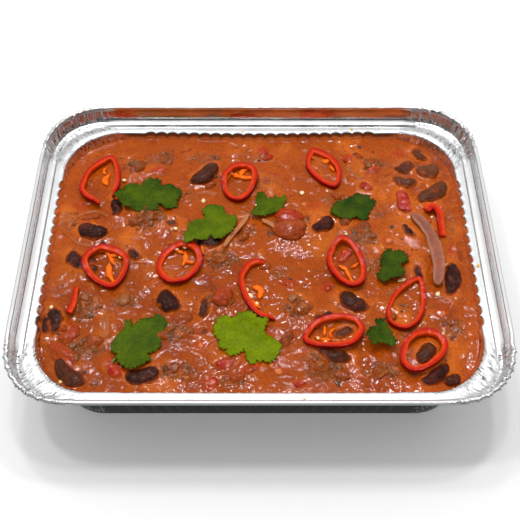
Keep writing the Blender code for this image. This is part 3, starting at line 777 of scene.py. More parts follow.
def patch_amount(patches, x, y):
    """How much of a kind of patch is at each place, with ragged edges."""
    ragged = 0.30 * layered_bumps(x, y, 5, 61, 3)
    amount = np.zeros_like(x)
    for centre_x, centre_y, half_length, half_width, turn, strength in patches:
        away = oval(x, y, centre_x, centre_y, half_length, half_width, turn)
        amount = np.maximum(amount, strength * (1 - fade(away + ragged, 0.55, 1.15)))
    return amount


def stew_height(x, y):
    """The crown and the mounds, as in the solid model."""
    level = LEVEL + CROWN * (1 - (2 * x / LENGTH) ** 2) * (1 - (2 * y / WIDTH) ** 2)
    for mound_x, mound_y, rise, width in MOUNDS:
        away = (x - mound_x) ** 2 + (y - mound_y) ** 2
        level = level + rise * np.exp(-away / (2 * width ** 2))
    return level


def stew_height_at(x, y):
    """The same height at one place."""
    return float(stew_height(np.array([x]), np.array([y]))[0])


print("stew stands", round(stew_height_at(15.0, 14.0), 1), "mm at its highest")


# %% Where the beans and chunks are
def node_points(name):
    """The points of a piece of the solid model, in millimetres."""
    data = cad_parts[name].data
    flat = np.empty(3 * len(data.vertices))
    data.vertices.foreach_get("co", flat)
    return flat.reshape(-1, 3) / MM


def measure_lump(name):
    """Middle, length, width, turn, bend and top of a bean or chunk, from its points."""
    places = node_points(name)
    middle = (places.min(axis=0) + places.max(axis=0)) / 2
    plan = places[:, :2] - places[:, :2].mean(axis=0)
    _, _, axes = np.linalg.svd(plan, full_matrices=False)
    along = plan @ axes[0]
    aside = plan @ np.array([-axes[0][1], axes[0][0]])
    bend = np.polyfit(along, aside, 2)[0]
    turn = math.degrees(math.atan2(axes[0][1], axes[0][0]))
    centre = places[:, :2].mean(axis=0) + axes[0] * (along.max() + along.min()) / 2
    length = along.max() - along.min()
    straight = aside - bend * along ** 2
    width = straight.max() - straight.min()
    return {"x": centre[0], "y": centre[1], "length": length, "width": width, "turn": turn,
            "bend": bend * length, "top": places[:, 2].max(), "middle": middle[2]}


bean_names = sorted(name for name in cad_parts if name.startswith("bean_"))
chunk_names = sorted(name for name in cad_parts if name.startswith("tomato_"))
BEANS = {name: measure_lump(name) for name in bean_names}
CHUNKS = {name: measure_lump(name) for name in chunk_names}
sample = BEANS["bean_16"]
print("bean_16:", {key: round(float(value), 2) for key, value in sample.items()})

# %% The stew's grid
WALL_X = LENGTH / 2 - FLARE_INSET - WALL_RADIUS     # half the straight sides of the wall
WALL_Y = WIDTH / 2 - FLARE_INSET - WALL_RADIUS
EDGE_RADIUS = WALL_RADIUS + REACH_INTO_FOIL


def stew_grid():
    """Places on the top, from a rectangle whose corners are rounded, and how many columns and rows."""
    half_x = WALL_X + EDGE_RADIUS
    half_y = WALL_Y + EDGE_RADIUS
    columns = round(2 * half_x / GRID_STEP)
    rows = round(2 * half_y / GRID_STEP)
    x, y = np.meshgrid(np.linspace(-half_x, half_x, columns + 1), np.linspace(-half_y, half_y, rows + 1))
    over_x = np.clip((np.abs(x) - WALL_X) / EDGE_RADIUS, 0, 1)
    over_y = np.clip((np.abs(y) - WALL_Y) / EDGE_RADIUS, 0, 1)
    round_x = over_x * np.sqrt(1 - over_y ** 2 / 2)
    round_y = over_y * np.sqrt(1 - over_x ** 2 / 2)
    x = np.where(over_x > 0, np.sign(x) * (WALL_X + round_x * EDGE_RADIUS), x)
    y = np.where(over_y > 0, np.sign(y) * (WALL_Y + round_y * EDGE_RADIUS), y)
    return x, y, columns + 1, rows + 1


def flute_at(x, y):
    """How deep in a flute each place by the wall is: 0 on a ridge, 1 in the middle of a flute."""
    long_phase = np.clip((x / HALF_FLUTED_LONG + 1) / 2, 0, 1) * FLUTES_LONG
    short_phase = np.clip((y / HALF_FLUTED_SHORT + 1) / 2, 0, 1) * FLUTES_SHORT
    on_long = (np.abs(y) - WALL_Y) > (np.abs(x) - WALL_X)
    phase = np.where(on_long, long_phase, short_phase)
    return np.abs(np.sin(np.pi * phase)) ** FLUTE_ROUND


def wall_distance(x, y):
    """How far each place is inside the stew's plain edge, and the direction outwards."""
    over_x = np.sign(x) * np.maximum(np.abs(x) - WALL_X, 0)
    over_y = np.sign(y) * np.maximum(np.abs(y) - WALL_Y, 0)
    reach = np.hypot(over_x, over_y)
    safe = np.maximum(reach, 1e-6)
    return EDGE_RADIUS - reach, over_x / safe, over_y / safe


grid_x, grid_y, columns, rows = stew_grid()
gap, out_x, out_y = wall_distance(grid_x, grid_y)
bow = bow_at(grid_x) * fade(np.abs(grid_y), WALL_Y, WALL_Y + 20)
bow = bow * np.where(grid_y > 0, -BACK_BOW, FRONT_BOW)
follow = FLUTE_DEPTH * flute_at(grid_x, grid_y) * (1 - fade(gap, 0, 3.5)) + bow
grid_x = grid_x + out_x * follow
grid_y = grid_y + out_y * follow
print("stew grid:", columns, "by", rows)


# %% The relief of the stew
def climb_round(shapes, x, y, rise, width):
    """How much the sauce climbs beside beans and chunks."""
    climb = np.zeros_like(x)
    for shape in shapes:
        half_length = shape["length"] / 2
        half_width = shape["width"] / 2
        away = oval(x, y, shape["x"], shape["y"], half_length, half_width, shape["turn"])
        distance = (away - 1) * half_width
        slope = np.clip(1 - np.abs(distance) / width, 0, 1) ** 1.4
        climb = np.maximum(climb, np.where(distance > -2, slope, 0))
    return rise * climb


def crumbs_relief(x, y, seed):
    """Rounded crumbs: the upper halves of bumps of two sizes."""
    large = np.maximum(bumps(x, y, 2.1, seed), -0.15)
    turned = x * 0.6 - y * 0.8, x * 0.8 + y * 0.6
    small = np.maximum(bumps(turned[0], turned[1], 1.25, seed + 1), -0.3)
    return 0.75 * large + 0.45 * small


ROLL = 0.75             # height of the broad waves
RIDGE = 0.55            # of the ridges, which calm places lack
RIPPLE = 0.42           # of the small waves
TOMATO_RISE = 0.60
EDGE_CLIMB = 0.45       # how far the sauce climbs at the foil
BEAN_CLIMB = (1.0, 3.6)         # how far it climbs beside a bean, and how broad that is
WALL_LEAN = 0.19        # how far the wall goes inwards for each millimetre down

mince_here = patch_amount(MINCE, grid_x, grid_y)
tomato_here = patch_amount(TOMATO_STAINS, grid_x, grid_y)
edge_rise = EDGE_CLIMB * np.exp(-np.maximum(gap, 0) / 0.9)
calm = 1 - 0.8 * fade(layered_bumps(grid_x, grid_y, 18, 47, 2), -0.1, 0.5)
ridges = 1 - np.abs(layered_bumps(grid_x, grid_y * 1.3, 7, 43, 2)) * 4.5
rolling = ROLL * layered_bumps(grid_x, grid_y, 11, 41, 2) + RIDGE * calm * np.maximum(ridges, 0)
rolling = rolling + RIPPLE * (0.25 + 0.75 * calm) * layered_bumps(grid_x, grid_y, 4.0, 45, 2)
grainy = 0.10 * calm + 0.90 * mince_here
relief = rolling + grainy * crumbs_relief(grid_x, grid_y, 51)
relief = relief + TOMATO_RISE * tomato_here * (0.6 + layered_bumps(grid_x, grid_y, 3.5, 71, 2))
corner_dip = CORNER_DIP * fade(np.hypot(np.abs(grid_x) - WALL_X, np.abs(grid_y) - WALL_Y), 8, 28)
corner_dip = corner_dip * (np.abs(grid_x) > WALL_X) * (np.abs(grid_y) > WALL_Y)
corner_dip = corner_dip * np.sin(2 * np.arctan2(np.abs(out_y), np.abs(out_x) + 1e-6))
grid_x = grid_x - out_x * WALL_LEAN * corner_dip * (1 - fade(gap, 0, 3))
grid_y = grid_y - out_y * WALL_LEAN * corner_dip * (1 - fade(gap, 0, 3))
lumps_here = list(BEANS.values()) + list(CHUNKS.values())
relief = relief + climb_round(lumps_here, grid_x, grid_y, *BEAN_CLIMB)
top_height = stew_height(grid_x, grid_y) + relief * fade(gap, -0.2, 1.2) + edge_rise - corner_dip
print("relief from", round(float(relief.min()), 2), "to", round(float(relief.max()), 2), "mm")

# %% The colour of the stew
SAUCE = (0.315, 0.050, 0.0020)
SAUCE_PALE = (0.46, 0.094, 0.0070)
SAUCE_DEEP = (0.200, 0.027, 0.0014)
MINCE_BROWN = (0.150, 0.043, 0.008)
# Pale mince: partly its own paler bits, partly a painted highlight on wet mince
MINCE_PALE_AND_HIGHLIGHT = (0.34, 0.110, 0.030)
TOMATO_RED = (0.36, 0.022, 0.004)
OIL_ORANGE = (0.33, 0.046, 0.002)
BRIGHTNESS = ((-70, -10, 45), (1.08, 1.05, 1.16))       # from front to back: places and factors


def stew_colours(x, y, mince, tomato, gap, height):
    """Linear colours of the top: paler on the crests and deeper in the hollows, partly as painted light and
    shade.
    """
    broad = layered_bumps(x, y, 16, 81, 3)
    fine = layered_bumps(x, y, 2.2, 85, 3)
    colour = blend(SAUCE, SAUCE_PALE, fade(broad, 0.0, 0.8))
    colour = towards(colour, SAUCE_DEEP, 0.6 * fade(-broad, 0.1, 0.9))
    # Paler on the crests and deeper in the hollows: partly the sauce's own depth, partly painted light and
    # shade
    colour = towards(colour, SAUCE_PALE, 0.7 * fade(height, 0.25, 1.3))
    colour = towards(colour, SAUCE_DEEP, 0.7 * fade(-height, 0.05, 0.9))
    colour = towards(colour, MINCE_BROWN, 0.9 * mince * fade(fine + 0.35, -0.25, 0.5))
    # Pale spots in the mince: partly paler mince, partly painted highlight
    pale = mince * fade(layered_bumps(x, y, 1.7, 95, 2), 0.25, 0.8)
    colour = towards(colour, MINCE_PALE_AND_HIGHLIGHT, 0.7 * pale)
    colour = towards(colour, TOMATO_RED, 0.85 * tomato)
    flecks = fade(layered_bumps(x, y, 1.5, 101, 2), 0.55, 0.8)
    colour = towards(colour, SAUCE_DEEP, 0.45 * flecks)
    oil = np.exp(-np.maximum(gap, 0) / 1.1)
    colour = towards(colour, OIL_ORANGE, 0.6 * oil)
    brightness = np.interp(y, *BRIGHTNESS)
    to_the_right = 1 + 0.12 * (x / WALL_X) * fade(-y, -20, 50)
    return colour * (brightness * to_the_right)[:, None] * (1, 1.03, 1)


flat = [values.ravel() for values in (grid_x, grid_y, mince_here, tomato_here, gap, relief)]
top_colours = stew_colours(*flat)
print("mean colour of the top:", top_colours.mean(axis=0).round(3))


# %% The stew's material
def make_sauce_material():
    """Wet sauce: a soft gloss, and grain that is stronger where the mince shows."""
    material, tree, shader = start_material("chili sauce", 0.2, 0.13)
    tint = read_attribute(tree, "tint").outputs["Color"]
    grain = read_attribute(tree, "grain").outputs["Fac"]
    fleck = noise_node(tree, 0.9, 3)
    shade_colour(tree, shader, tint, fleck.outputs["Fac"], 0.72, 1.24)
    wet = noise_node(tree, 5, 2)
    tree.links.new(spread(tree, wet.outputs["Fac"], 0.04, 0.09), shader.inputs["Roughness"])
    swell = noise_node(tree, 2.2, 0)
    add_relief(tree, shader, swell.outputs["Fac"], 1.0, spread(tree, grain, 0.16, 0.85, 0, 1))
    crumb = noise_node(tree, 1.2, 1)
    add_relief(tree, shader, crumb.outputs["Fac"], 0.8, spread(tree, grain, 0.02, 1.0, 0, 1))
    return material


# %% Build the stew
SKIRT_LEVELS = (30.2, 28, 20, 14, 10, 7, 4, 2.4, 0.8)
SKIRT_SLACK = (0.15, 0.50)   # how far the skirt stays inside the foil near the top and further down


def edge_ring(columns, rows):
    """Numbers of the points on the grid's edge, in order all the way round."""
    front = list(range(columns))
    right = [row * columns + columns - 1 for row in range(1, rows)]
    back = [(rows - 1) * columns + column for column in range(columns - 2, -1, -1)]
    left = [row * columns for row in range(rows - 2, 0, -1)]
    return front + right + back + left


def make_stew():
    """The top and a skirt that follows the wall down to the floor, one closed piece."""
    top = np.column_stack([grid_x.ravel(), grid_y.ravel(), top_height.ravel()])
    number = np.arange(columns * rows).reshape(rows, columns)
    quads = np.stack([number[:-1, :-1], number[:-1, 1:], number[1:, 1:], number[1:, :-1]], axis=-1)
    faces = quads.reshape(-1, 4).tolist()
    ring = edge_ring(columns, rows)
    edge = top[ring]
    _, away_x, away_y = wall_distance(edge[:, 0], edge[:, 1])
    points = [top]
    above = ring
    for level in SKIRT_LEVELS:
        inwards = wall_inset(level) - wall_inset(LEVEL) + (FOOT_INSET if level < 1 else 0.0)
        flutes = fade(level, *FLUTE_RISE)
        inwards = inwards + (1 - flutes) * FLUTE_DEPTH * flute_at(edge[:, 0], edge[:, 1])
        inwards = inwards + bow.ravel()[ring] * (1 - fade(level, *BOW_RISE))
        inwards = inwards + (SKIRT_SLACK[0] if level > 30 else SKIRT_SLACK[1])
        plan = np.column_stack([edge[:, 0] - away_x * inwards, edge[:, 1] - away_y * inwards])
        start = sum(len(part) for part in points)
        points.append(np.column_stack([plan, np.full(len(ring), float(level))]))
        below = list(range(start, start + len(ring)))
        for here in range(len(ring)):
            after = (here + 1) % len(ring)
            faces.append((above[here], below[here], below[after], above[after]))
        above = below
    faces.append(list(reversed(above)))
    return np.vstack(points), faces


points, faces = make_stew()
stew = make_piece("stew", points, faces, make_sauce_material(), "sauce", ["chili"])
hidden = len(points) - len(top_colours)
paint(stew, "tint", np.vstack([top_colours, np.tile(SAUCE, (hidden, 1))]))
paint(stew, "grain", np.concatenate([np.maximum(mince_here, 0.15).ravel(), np.zeros(hidden)]))

# %% [markdown]
# ## Where small things rest
#
# Beans, seeds and crumbs lie on the stew or on each other. A BVH tree answers the question of how
# high the surface is at a place: it drops a ray from above and says where the ray stops. The stew's
# own mesh is asked, so a piece sits on the relief that shows and not on the plain solid below it.

# %% Ask how high the stew is
stew_tree = BVHTree.FromPolygons([tuple(place) for place in points.tolist()], faces)


def stew_level_at(x, y):
    """Height of the stew's surface at a place, in millimetres."""
    hit = stew_tree.ray_cast(Vector((x, y, 2 * HEIGHT)), Vector((0, 0, -1)))[0]
    return hit.z if hit else LEVEL


def levels_at(places):
    """Heights of the stew's surface at many places."""
    return np.array([stew_level_at(float(x), float(y)) for x, y in np.asarray(places)[:, :2]])


print("the stew at the middle:", round(stew_level_at(0, 0), 2), "mm high")

# %% [markdown]
# ## Kidney beans
#
# A kidney bean is a rounded bar with blunt ends, bent a little, with a dent on the inner side. Its
# skin is dark red-brown, nearly black in shade, with a broad soft sheen, and boiled beans wrinkle
# along their length. A grid of points round a bent spine gives that form, and its width at each
# place comes from a formula that is blunter than an ellipse. Where a bean meets the sauce, a ragged
# film of sauce covers it; some beans are covered nearly to the top.


# %% The form of a bean
BEAN_ROUND = 36
BEAN_ALONG = 40
BEAN_HALF_HEIGHT = 4.0


def bean_points(shape, seed, half_height, wrinkle):
    """Points of one bean, in rings from one end to the other, and its length and round coordinates."""
    share = np.cos(np.linspace(math.pi, 0, BEAN_ALONG))
    around = np.linspace(0, 2 * math.pi, BEAN_ROUND, endpoint=False)
    share, around = np.meshgrid(share, around, indexing="ij")
    girth = (1 - np.abs(share) ** 2.5) ** 0.52
    inner = -1.0 if shape["bend"] < 0 else 1.0
    dent = 0.10 * np.exp(-(share / 0.30) ** 2) * np.maximum(np.cos(around) * inner, 0) ** 2
    lump = 1 + 0.13 * bumps(share * 6, around * 1.9, 2.2, seed) - dent
    lump = lump + 0.05 * bumps(share * 9 + 5, around * 3.8, 2.2, seed + 3)
    folds = bumps(share * 5, around * 7, 2.2, seed + 1) * 0.6
    folds = folds + bumps(share * 9, around * 13, 2.2, seed + 2) * 0.4
    lump = lump - wrinkle * 0.085 * (1 - np.abs(folds)) ** 4
    aside = shape["width"] / 2 * girth * lump * np.cos(around)
    up = half_height * girth * lump * np.sin(around)
    along = shape["length"] / 2 * share
    aside = aside + shape["bend"] * shape["length"] / 4 * (share ** 2 - 0.35)
    x, y = turn_plan(shape["x"], shape["y"], along, aside, math.radians(shape["turn"]))
    z = shape["top"] - half_height + up
    return np.column_stack([x.ravel(), y.ravel(), z.ravel()]), share.ravel(), around.ravel()


print("a bean has", BEAN_ROUND * BEAN_ALONG, "points")

# %% The colour of beans
BEAN_DARK = (0.017, 0.0030, 0.0026)
BEAN_WINE = (0.065, 0.0085, 0.0062)
BEAN_BROWN = (0.160, 0.045, 0.014)
FILM = (0.30, 0.048, 0.0035)
FILM_RISE = 0.75        # how far above the stew the film of sauce reaches


def film_amount(places, seed, coat):
    """How much sauce covers each point: all of it at the stew's level, patches of it higher up."""
    x, y, z = places.T
    above = z - levels_at(places)
    ragged = layered_bumps(x + z, y - z, 2.6, seed, 3)
    low = 1 - fade(above + 0.55 * ragged, FILM_RISE * 0.35, FILM_RISE * 1.5)
    patches = fade(ragged + coat * 1.5, 0.75, 1.25) * 0.8
    return np.clip(np.maximum(low, patches), 0, 1)


def bean_colours(places, seed, coat):
    """Linear colours of a bean: dark skin, browner where thinly coated, sauce where covered."""
    x, y, z = places.T
    wine = fade(layered_bumps(x, y + z, 3.4, seed + 5, 3), -0.2, 0.8)
    skin = blend(BEAN_DARK, BEAN_WINE, wine)
    skin = towards(skin, BEAN_BROWN, min(coat, 1.0))
    film = film_amount(places, seed, coat * 0.55)
    return towards(skin, FILM, film), film


# %% The skin of beans
def make_bean_material():
    """Smooth wet skin; its sheen is broad, and fine lines run along the bean."""
    material, tree, shader = start_material("bean skin", 0.25, 0.10)
    tint = read_attribute(tree, "tint").outputs["Color"]
    film = read_attribute(tree, "film").outputs["Fac"]
    mottle = noise_node(tree, 1.6, 3)
    shade_colour(tree, shader, tint, mottle.outputs["Fac"], 0.72, 1.35)
    tree.links.new(spread(tree, mottle.outputs["Fac"], 0.07, 0.17), shader.inputs["Roughness"])
    lines = noise_node(tree, 1.0, 2, "UV", (0.45, 1.0, 1))
    add_relief(tree, shader, lines.outputs["Fac"], 0.7, 0.8)
    pores = noise_node(tree, 1.3, 2)
    add_relief(tree, shader, pores.outputs["Fac"], 0.5, spread(tree, film, 0.1, 0.9, 0, 1))
    return material


bean_material = make_bean_material()
print("bean material ready")

# %% Make the beans
# Beans that are wrinkled, and beans with a coat of sauce: how much of it
WRINKLED = {
    "bean_04": 0.9, "bean_16": 1.2, "bean_11": 0.8, "bean_12": 0.9, "bean_08": 1.2, "bean_24": 1.0,
    "bean_26": 1.1, "bean_27": 0.7, "bean_15": 0.8, "bean_21": 0.9, "bean_22": 0.8, "bean_02": 0.6,
}
COATED = {
    "bean_24": 0.55, "bean_25": 0.60, "bean_26": 0.45, "bean_27": 0.75, "bean_28": 0.6, "bean_18": 0.75,
    "bean_11": 0.30, "bean_05": 0.45, "bean_12": 0.10, "bean_04": 0.25, "bean_14": 0.45, "bean_16": 0.2,
    "bean_09": 0.3, "bean_15": 0.25, "bean_22": 0.3,
}
# The sauce hides the foot of a bean, so the whole bean is larger than what shows of it
BEAN_LONGER = 1.06
BEAN_WIDER = 1.14
WIDE_BEANS = {"bean_11": 1.25, "bean_10": 1.1, "bean_02": 1.15, "bean_25": 1.1, "bean_26": 1.1}
# Beans that nothing lies on stand a little prouder
CLEAR_NUMBERS = (1, 4, 8, 10, 11, 12, 15, 16, 17, 21, 22, 24, 25, 26, 27, 28)
CLEAR_BEANS = [f"bean_{number:02d}" for number in CLEAR_NUMBERS]
CLEAR_RISE = 0.45
# Beans that are nearly sunk: x, y, length, width, turn, how far they stand out, coat
SUNK_BEANS = (
    (-99.6, -41.0, 13, 4.6, 94, 2.0, 0.05), (70.5, -66.0, 8, 5.0, 20, 0.8, 0.5),
    (98.0, -2.0, 9, 4.0, 80, 1.2, 0.2), (-82.0, -7.5, 13, 7.0, -75, 1.5, 0.15),
    (-39.5, 68.0, 11, 5.0, 15, 0.9, 0.55), (-22.0, -21.5, 8, 6.0, 40, 0.9, 0.65),
    (-27.0, -44.5, 9, 6.0, 10, 1.0, 0.30), (-65.5, -41.5, 12, 5.0, -60, 0.9, 0.45),
    (12.5, -48.5, 11, 7.0, 60, 1.2, 0.85), (27.0, -44.5, 9, 5.0, 10, 0.8, 0.60),
    (52.0, 15.0, 12, 9.0, 80, 1.8, 0.95), (86.5, -69.0, 8.5, 5.5, 20, 1.3, 0.20),
    (69.5, 50.5, 9, 5.0, 20, 0.9, 0.70), (53.0, 64.5, 10, 6.0, -30, 1.0, 0.60),
    (45.0, 48.5, 6, 4.0, 0, 0.7, 0.8), (-79.5, -48.5, 7, 4.5, 40, 0.8, 0.5),
    (77.0, -18.0, 6, 4.0, 80, 1.0, 0.2),
)


def join_lumps(lumps):
    """Join lumps of equal grids into one mesh: points, faces, colours, film and sheet coordinates."""
    own_faces = tube_faces(BEAN_ALONG, BEAN_ROUND)
    points, faces = join_parts([(lump[0], own_faces) for lump in lumps])
    colours = np.vstack([lump[1] for lump in lumps])
    films = np.concatenate([lump[2] for lump in lumps])
    sheets = []
    for number, (_, _, _, share, around) in enumerate(lumps):
        sheets.append(np.column_stack([share * 8, around * 4]) * MM + (number + 1) * 0.05)
    return points, faces, colours, films, np.vstack(sheets)


def sunk_shape(x, y, length, width, turn, rise, bend):
    """The shape of a bean or wedge that is nearly sunk: it stands out of the stew by rise."""
    return {"x": x, "y": y, "length": length, "width": width, "turn": turn, "bend": bend,
            "top": stew_height_at(x, y) + rise}


def make_beans(name, shapes, slot, replaced):
    """Beans from their shapes: each with a seed, half its height, its wrinkles and its coat."""
    lumps = []
    for shape, seed, half_height, wrinkle, coat in shapes:
        places, share, around = bean_points(shape, seed, half_height, wrinkle)
        colour, film = bean_colours(places, seed, coat)
        lumps.append((places, colour, film, share, around))
    places, faces, colours, films, sheet = join_lumps(lumps)
    piece = make_piece(name, places, faces, bean_material, slot, replaced)
    paint(piece, "tint", colours)
    paint(piece, "film", films)
    give_sheet(piece, sheet)


shapes = []
for number, name in enumerate(bean_names):
    shape = dict(BEANS[name])
    shape["length"] *= BEAN_LONGER
    shape["width"] *= BEAN_WIDER * WIDE_BEANS.get(name, 1.0)
    shape["top"] += CLEAR_RISE if name in CLEAR_BEANS else 0.0
    wrinkle = WRINKLED.get(name, 0.25)
    shapes.append((shape, 200 + 7 * number, BEAN_HALF_HEIGHT, wrinkle, COATED.get(name, 0.08)))
make_beans("kidney_beans", shapes, "bean", bean_names)
shapes = []
for number, (x, y, length, width, turn, rise, coat) in enumerate(SUNK_BEANS):
    shape = sunk_shape(x, y, length, width, turn, rise, 0.1)
    shapes.append((shape, 500 + 7 * number, width * 0.42, 0.5, coat))
make_beans("sunk_beans", shapes, "bean", ())

# %% [markdown]
# ## Lumps under the sauce
#
# Larger lumps of mince and tomato push the sauce up. The sauce coats them, so they differ from it in
# form more than in colour: a steep front edge, a rough top with pale spots that are partly painted
# highlight, and a shadow at the foot that painted shade makes deeper. Each is a sphere of points
# that is squeezed, turned and pushed out of shape with two sizes of bumps.

# %% Build the lumps
# x, y, length, width, turn, how far it stands out, how red, how brown
LUMPS = (
    (15.5, 13.5, 17, 13, 10, 3.1, 0.5, 0.30), (15.0, 21.5, 16, 12, -10, 2.5, 0.8, 0.0),
    (-90.0, -55.5, 22, 10, -42, 2.0, 0.45, 0.1), (-91.5, -43.5, 6, 5.5, 0, 2.2, 0.3, 0.0),
    (9.0, 16.0, 7, 6, 0, 1.6, 0.3, 0.6), (-57, 21, 12, 8, 30, 2.4, 0.1, 0.8),
    (-63, 19, 7, 6, 0, 1.6, 0.2, 0.7), (-17.5, -26.5, 12, 10, 60, 2.6, 0.7, 0.2),
    (-64, 56, 9, 7, 70, 2.2, 0.1, 0.8), (-37, -37, 12, 9, 10, 1.9, 0.4, 0.5),
    (-20, -4, 9, 7, -20, 1.7, 0.1, 0.8), (-88, -47, 14, 9, 50, 2.0, 0.7, 0.1),
    (20, -33, 9, 7, 20, 1.8, 0.1, 0.7), (28, -63, 9, 7, 10, 1.8, 0.1, 0.8),
    (37, -67, 8, 6, -20, 1.6, 0.1, 0.9), (-76, -50, 9, 7, 30, 1.5, 0.4, 0.5),
    (54, -66, 8, 6, 10, 1.6, 0.1, 0.8), (89, 10, 8, 6, 70, 1.4, 0.3, 0.4),
    (84, 56, 9, 7, -20, 1.6, 0.2, 0.5), (-86, 22, 10, 5, 20, 1.3, 0.2, 0.3),
    (60, 60, 8, 6, 30, 1.5, 0.3, 0.5), (-44, -47, 8, 6, 0, 1.5, 0.2, 0.7),
    (62, -36, 6, 5, 0, 1.4, 0.2, 0.6), (90, -40, 7, 6, 20, 1.6, 0.1, 0.7),
    (-50, 60, 7, 5, 0, 1.3, 0.1, 0.8), (4, 63, 7, 6, 30, 1.5, 0.9, 0.0),
    (40, 36, 7, 5, -20, 1.2, 0.3, 0.4), (-8, 10, 8, 5, 40, 1.3, 0.2, 0.6),
    (3, -8, 7, 6, 0, 1.3, 0.3, 0.5), (-26, 44, 7, 4, 20, 1.1, 0.3, 0.4),
    (-10, -68, 8, 5, 10, 1.2, 0.5, 0.3), (72, -2, 7, 5, 80, 1.2, 0.4, 0.3),
    (-33, 20, 8, 5, 10, 1.2, 0.2, 0.5),
)


def round_ball(subdivisions):
    """Points and faces of a ball of radius 1."""
    ball = bmesh.new()
    bmesh.ops.create_icosphere(ball, subdivisions=subdivisions, radius=1)
    points = np.array([vertex.co for vertex in ball.verts])
    faces = np.array([[vertex.index for vertex in face.verts] for face in ball.faces])
    ball.free()
    return points, faces


def lump_points(base, x, y, length, width, turn, rise, seed):
    """One lump: points in place and how rough each is."""
    coarse = layered_bumps(base[:, 0] * 3 + seed, base[:, 1] * 3 + base[:, 2] * 1.5, 1.7, seed, 2)
    fine = bumps(base[:, 0] * length / 2, base[:, 1] * width / 2 + base[:, 2] * 2, 1.5, seed + 5)
    lump = base * (1 + 0.17 * coarse + 0.05 * fine)[:, None] * (length / 2, width / 2, rise + 1.0)
    made_x, made_y = turn_plan(x, y, lump[:, 0], lump[:, 1], math.radians(turn))
    low = stew_height_at(x, y) - 1.0
    return np.column_stack([made_x, made_y, low + lump[:, 2]]), coarse + 0.5 * fine


def make_lumps():
    """All the lumps as one piece with the sauce's material."""
    base, triangles = round_ball(4)
    points = []
    colours = []
    grains = []
    for number, (x, y, length, width, turn, rise, red, brown) in enumerate(LUMPS):
        made, rough = lump_points(base, x, y, length, width, turn, rise, 900 + 7 * number)
        above = made[:, 2] - levels_at(made)
        bare = fade(above + 0.6 * rough, 0.2, 1.8)
        colour = blend(SAUCE, TOMATO_RED, red * bare)
        # Paler on the bulges of the mince: partly paler mince, partly painted highlight
        tone = blend(MINCE_BROWN, MINCE_PALE_AND_HIGHLIGHT, fade(rough, -0.2, 0.8))
        colour = towards(colour, tone, brown * bare)
        # Painted shade: each lump darkens towards its foot, where it meets the sauce
        foot = np.exp(-np.maximum(above, 0) / 0.35) * 0.45
        colours.append(colour * (1 - foot[:, None]))
        grains.append(0.25 + 0.75 * brown * bare)
        points.append(made)
    faces = np.vstack([triangles + number * len(base) for number in range(len(LUMPS))]).tolist()
    piece = make_piece("sauce_lumps", np.vstack(points), faces, stew.data.materials[0], "mince")
    paint(piece, "tint", np.vstack(colours))
    paint(piece, "grain", np.concatenate(grains))


make_lumps()

# %% [markdown]
# ## Slices of fresh chilli
#
# Each slice is a ring cut across a pod. Its outer side is the pod's skin: deep red and glossy. Its
# upper side is the cut: paler, more orange and wetter, with a thin dark line where the skin ends.
# A pod isn't round, so each ring is a smooth curve through a few points, and one section is carried
# along it, with the skin and the cut as two materials. Inside hang bits of the pale membrane, and a
# few seeds.


# %% A smooth curve through points
def smooth_route(places, closed, spacing=0.8, soften=0):
    """Evenly spaced points on a smooth curve through the given ones; softening rounds its bends."""
    places = np.asarray(places, dtype=float)
    if closed:
        framed = np.vstack([places[-1:], places, places[:2]])
    else:
        framed = np.vstack([2 * places[0] - places[1], places, 2 * places[-1] - places[-2]])
    share = np.linspace(0, 1, 12, endpoint=False)[:, None]
    runs = []
    for before, here, after, beyond in zip(framed, framed[1:], framed[2:], framed[3:]):
        first = (after - before) * share
        second = (2 * before - 5 * here + 4 * after - beyond) * share ** 2
        third = (3 * here - before - 3 * after + beyond) * share ** 3
        runs.append(here + 0.5 * (first + second + third))
    route = np.vstack(runs + [places[:1] if closed else places[-1:]])
    for _ in range(soften):
        inner = (route[:-2] + route[1:-1] + route[2:]) / 3
        if closed:
            seam = (route[-2] + route[0] + route[1]) / 3
            route = np.vstack([seam, inner, seam])
        else:
            route = np.vstack([route[:1], inner, route[-1:]])
    steps = np.linalg.norm(np.diff(route, axis=0), axis=1)
    travelled = np.concatenate([[0], np.cumsum(steps)])
    count = max(int(round(travelled[-1] / spacing)), 4)
    at = np.linspace(0, travelled[-1], count + 1)
    if closed:
        at = at[:-1]
    return np.column_stack([np.interp(at, travelled, route[:, axis]) for axis in (0, 1)])


def left_of(route, closed):
    """Directions to the left of the way along a route."""
    ahead = np.roll(route, -1, axis=0) - np.roll(route, 1, axis=0)
    if not closed:
        ahead[0] = route[1] - route[0]
        ahead[-1] = route[-1] - route[-2]
    ahead = ahead / np.linalg.norm(ahead, axis=1)[:, None]
    return np.column_stack([-ahead[:, 1], ahead[:, 0]])


def sweep(route, side, low, section, closed):
    """Carry a section along a route: for each of its points, how far to the side and how high."""
    rows = len(route)
    around = len(section[0])
    points = []
    for place, direction, level, outline in zip(route, side, low, section):
        plan = place + direction * outline[:, :1]
        points.append(np.column_stack([plan, level + outline[:, 1]]))
    ring = np.arange(around)
    after = (ring + 1) % around
    faces = []
    for row in range(rows if closed else rows - 1):
        here = row * around
        there = (row + 1) % rows * around
        faces += np.column_stack([here + ring, there + ring, there + after, here + after]).tolist()
    if not closed:
        faces.append(ring.tolist())
        faces.append(((rows - 1) * around + ring[::-1]).tolist())
    return np.vstack(points), faces


sample = smooth_route([(0, 0), (10, 4), (20, 0)], False)
print("a sample route has", len(sample), "points")

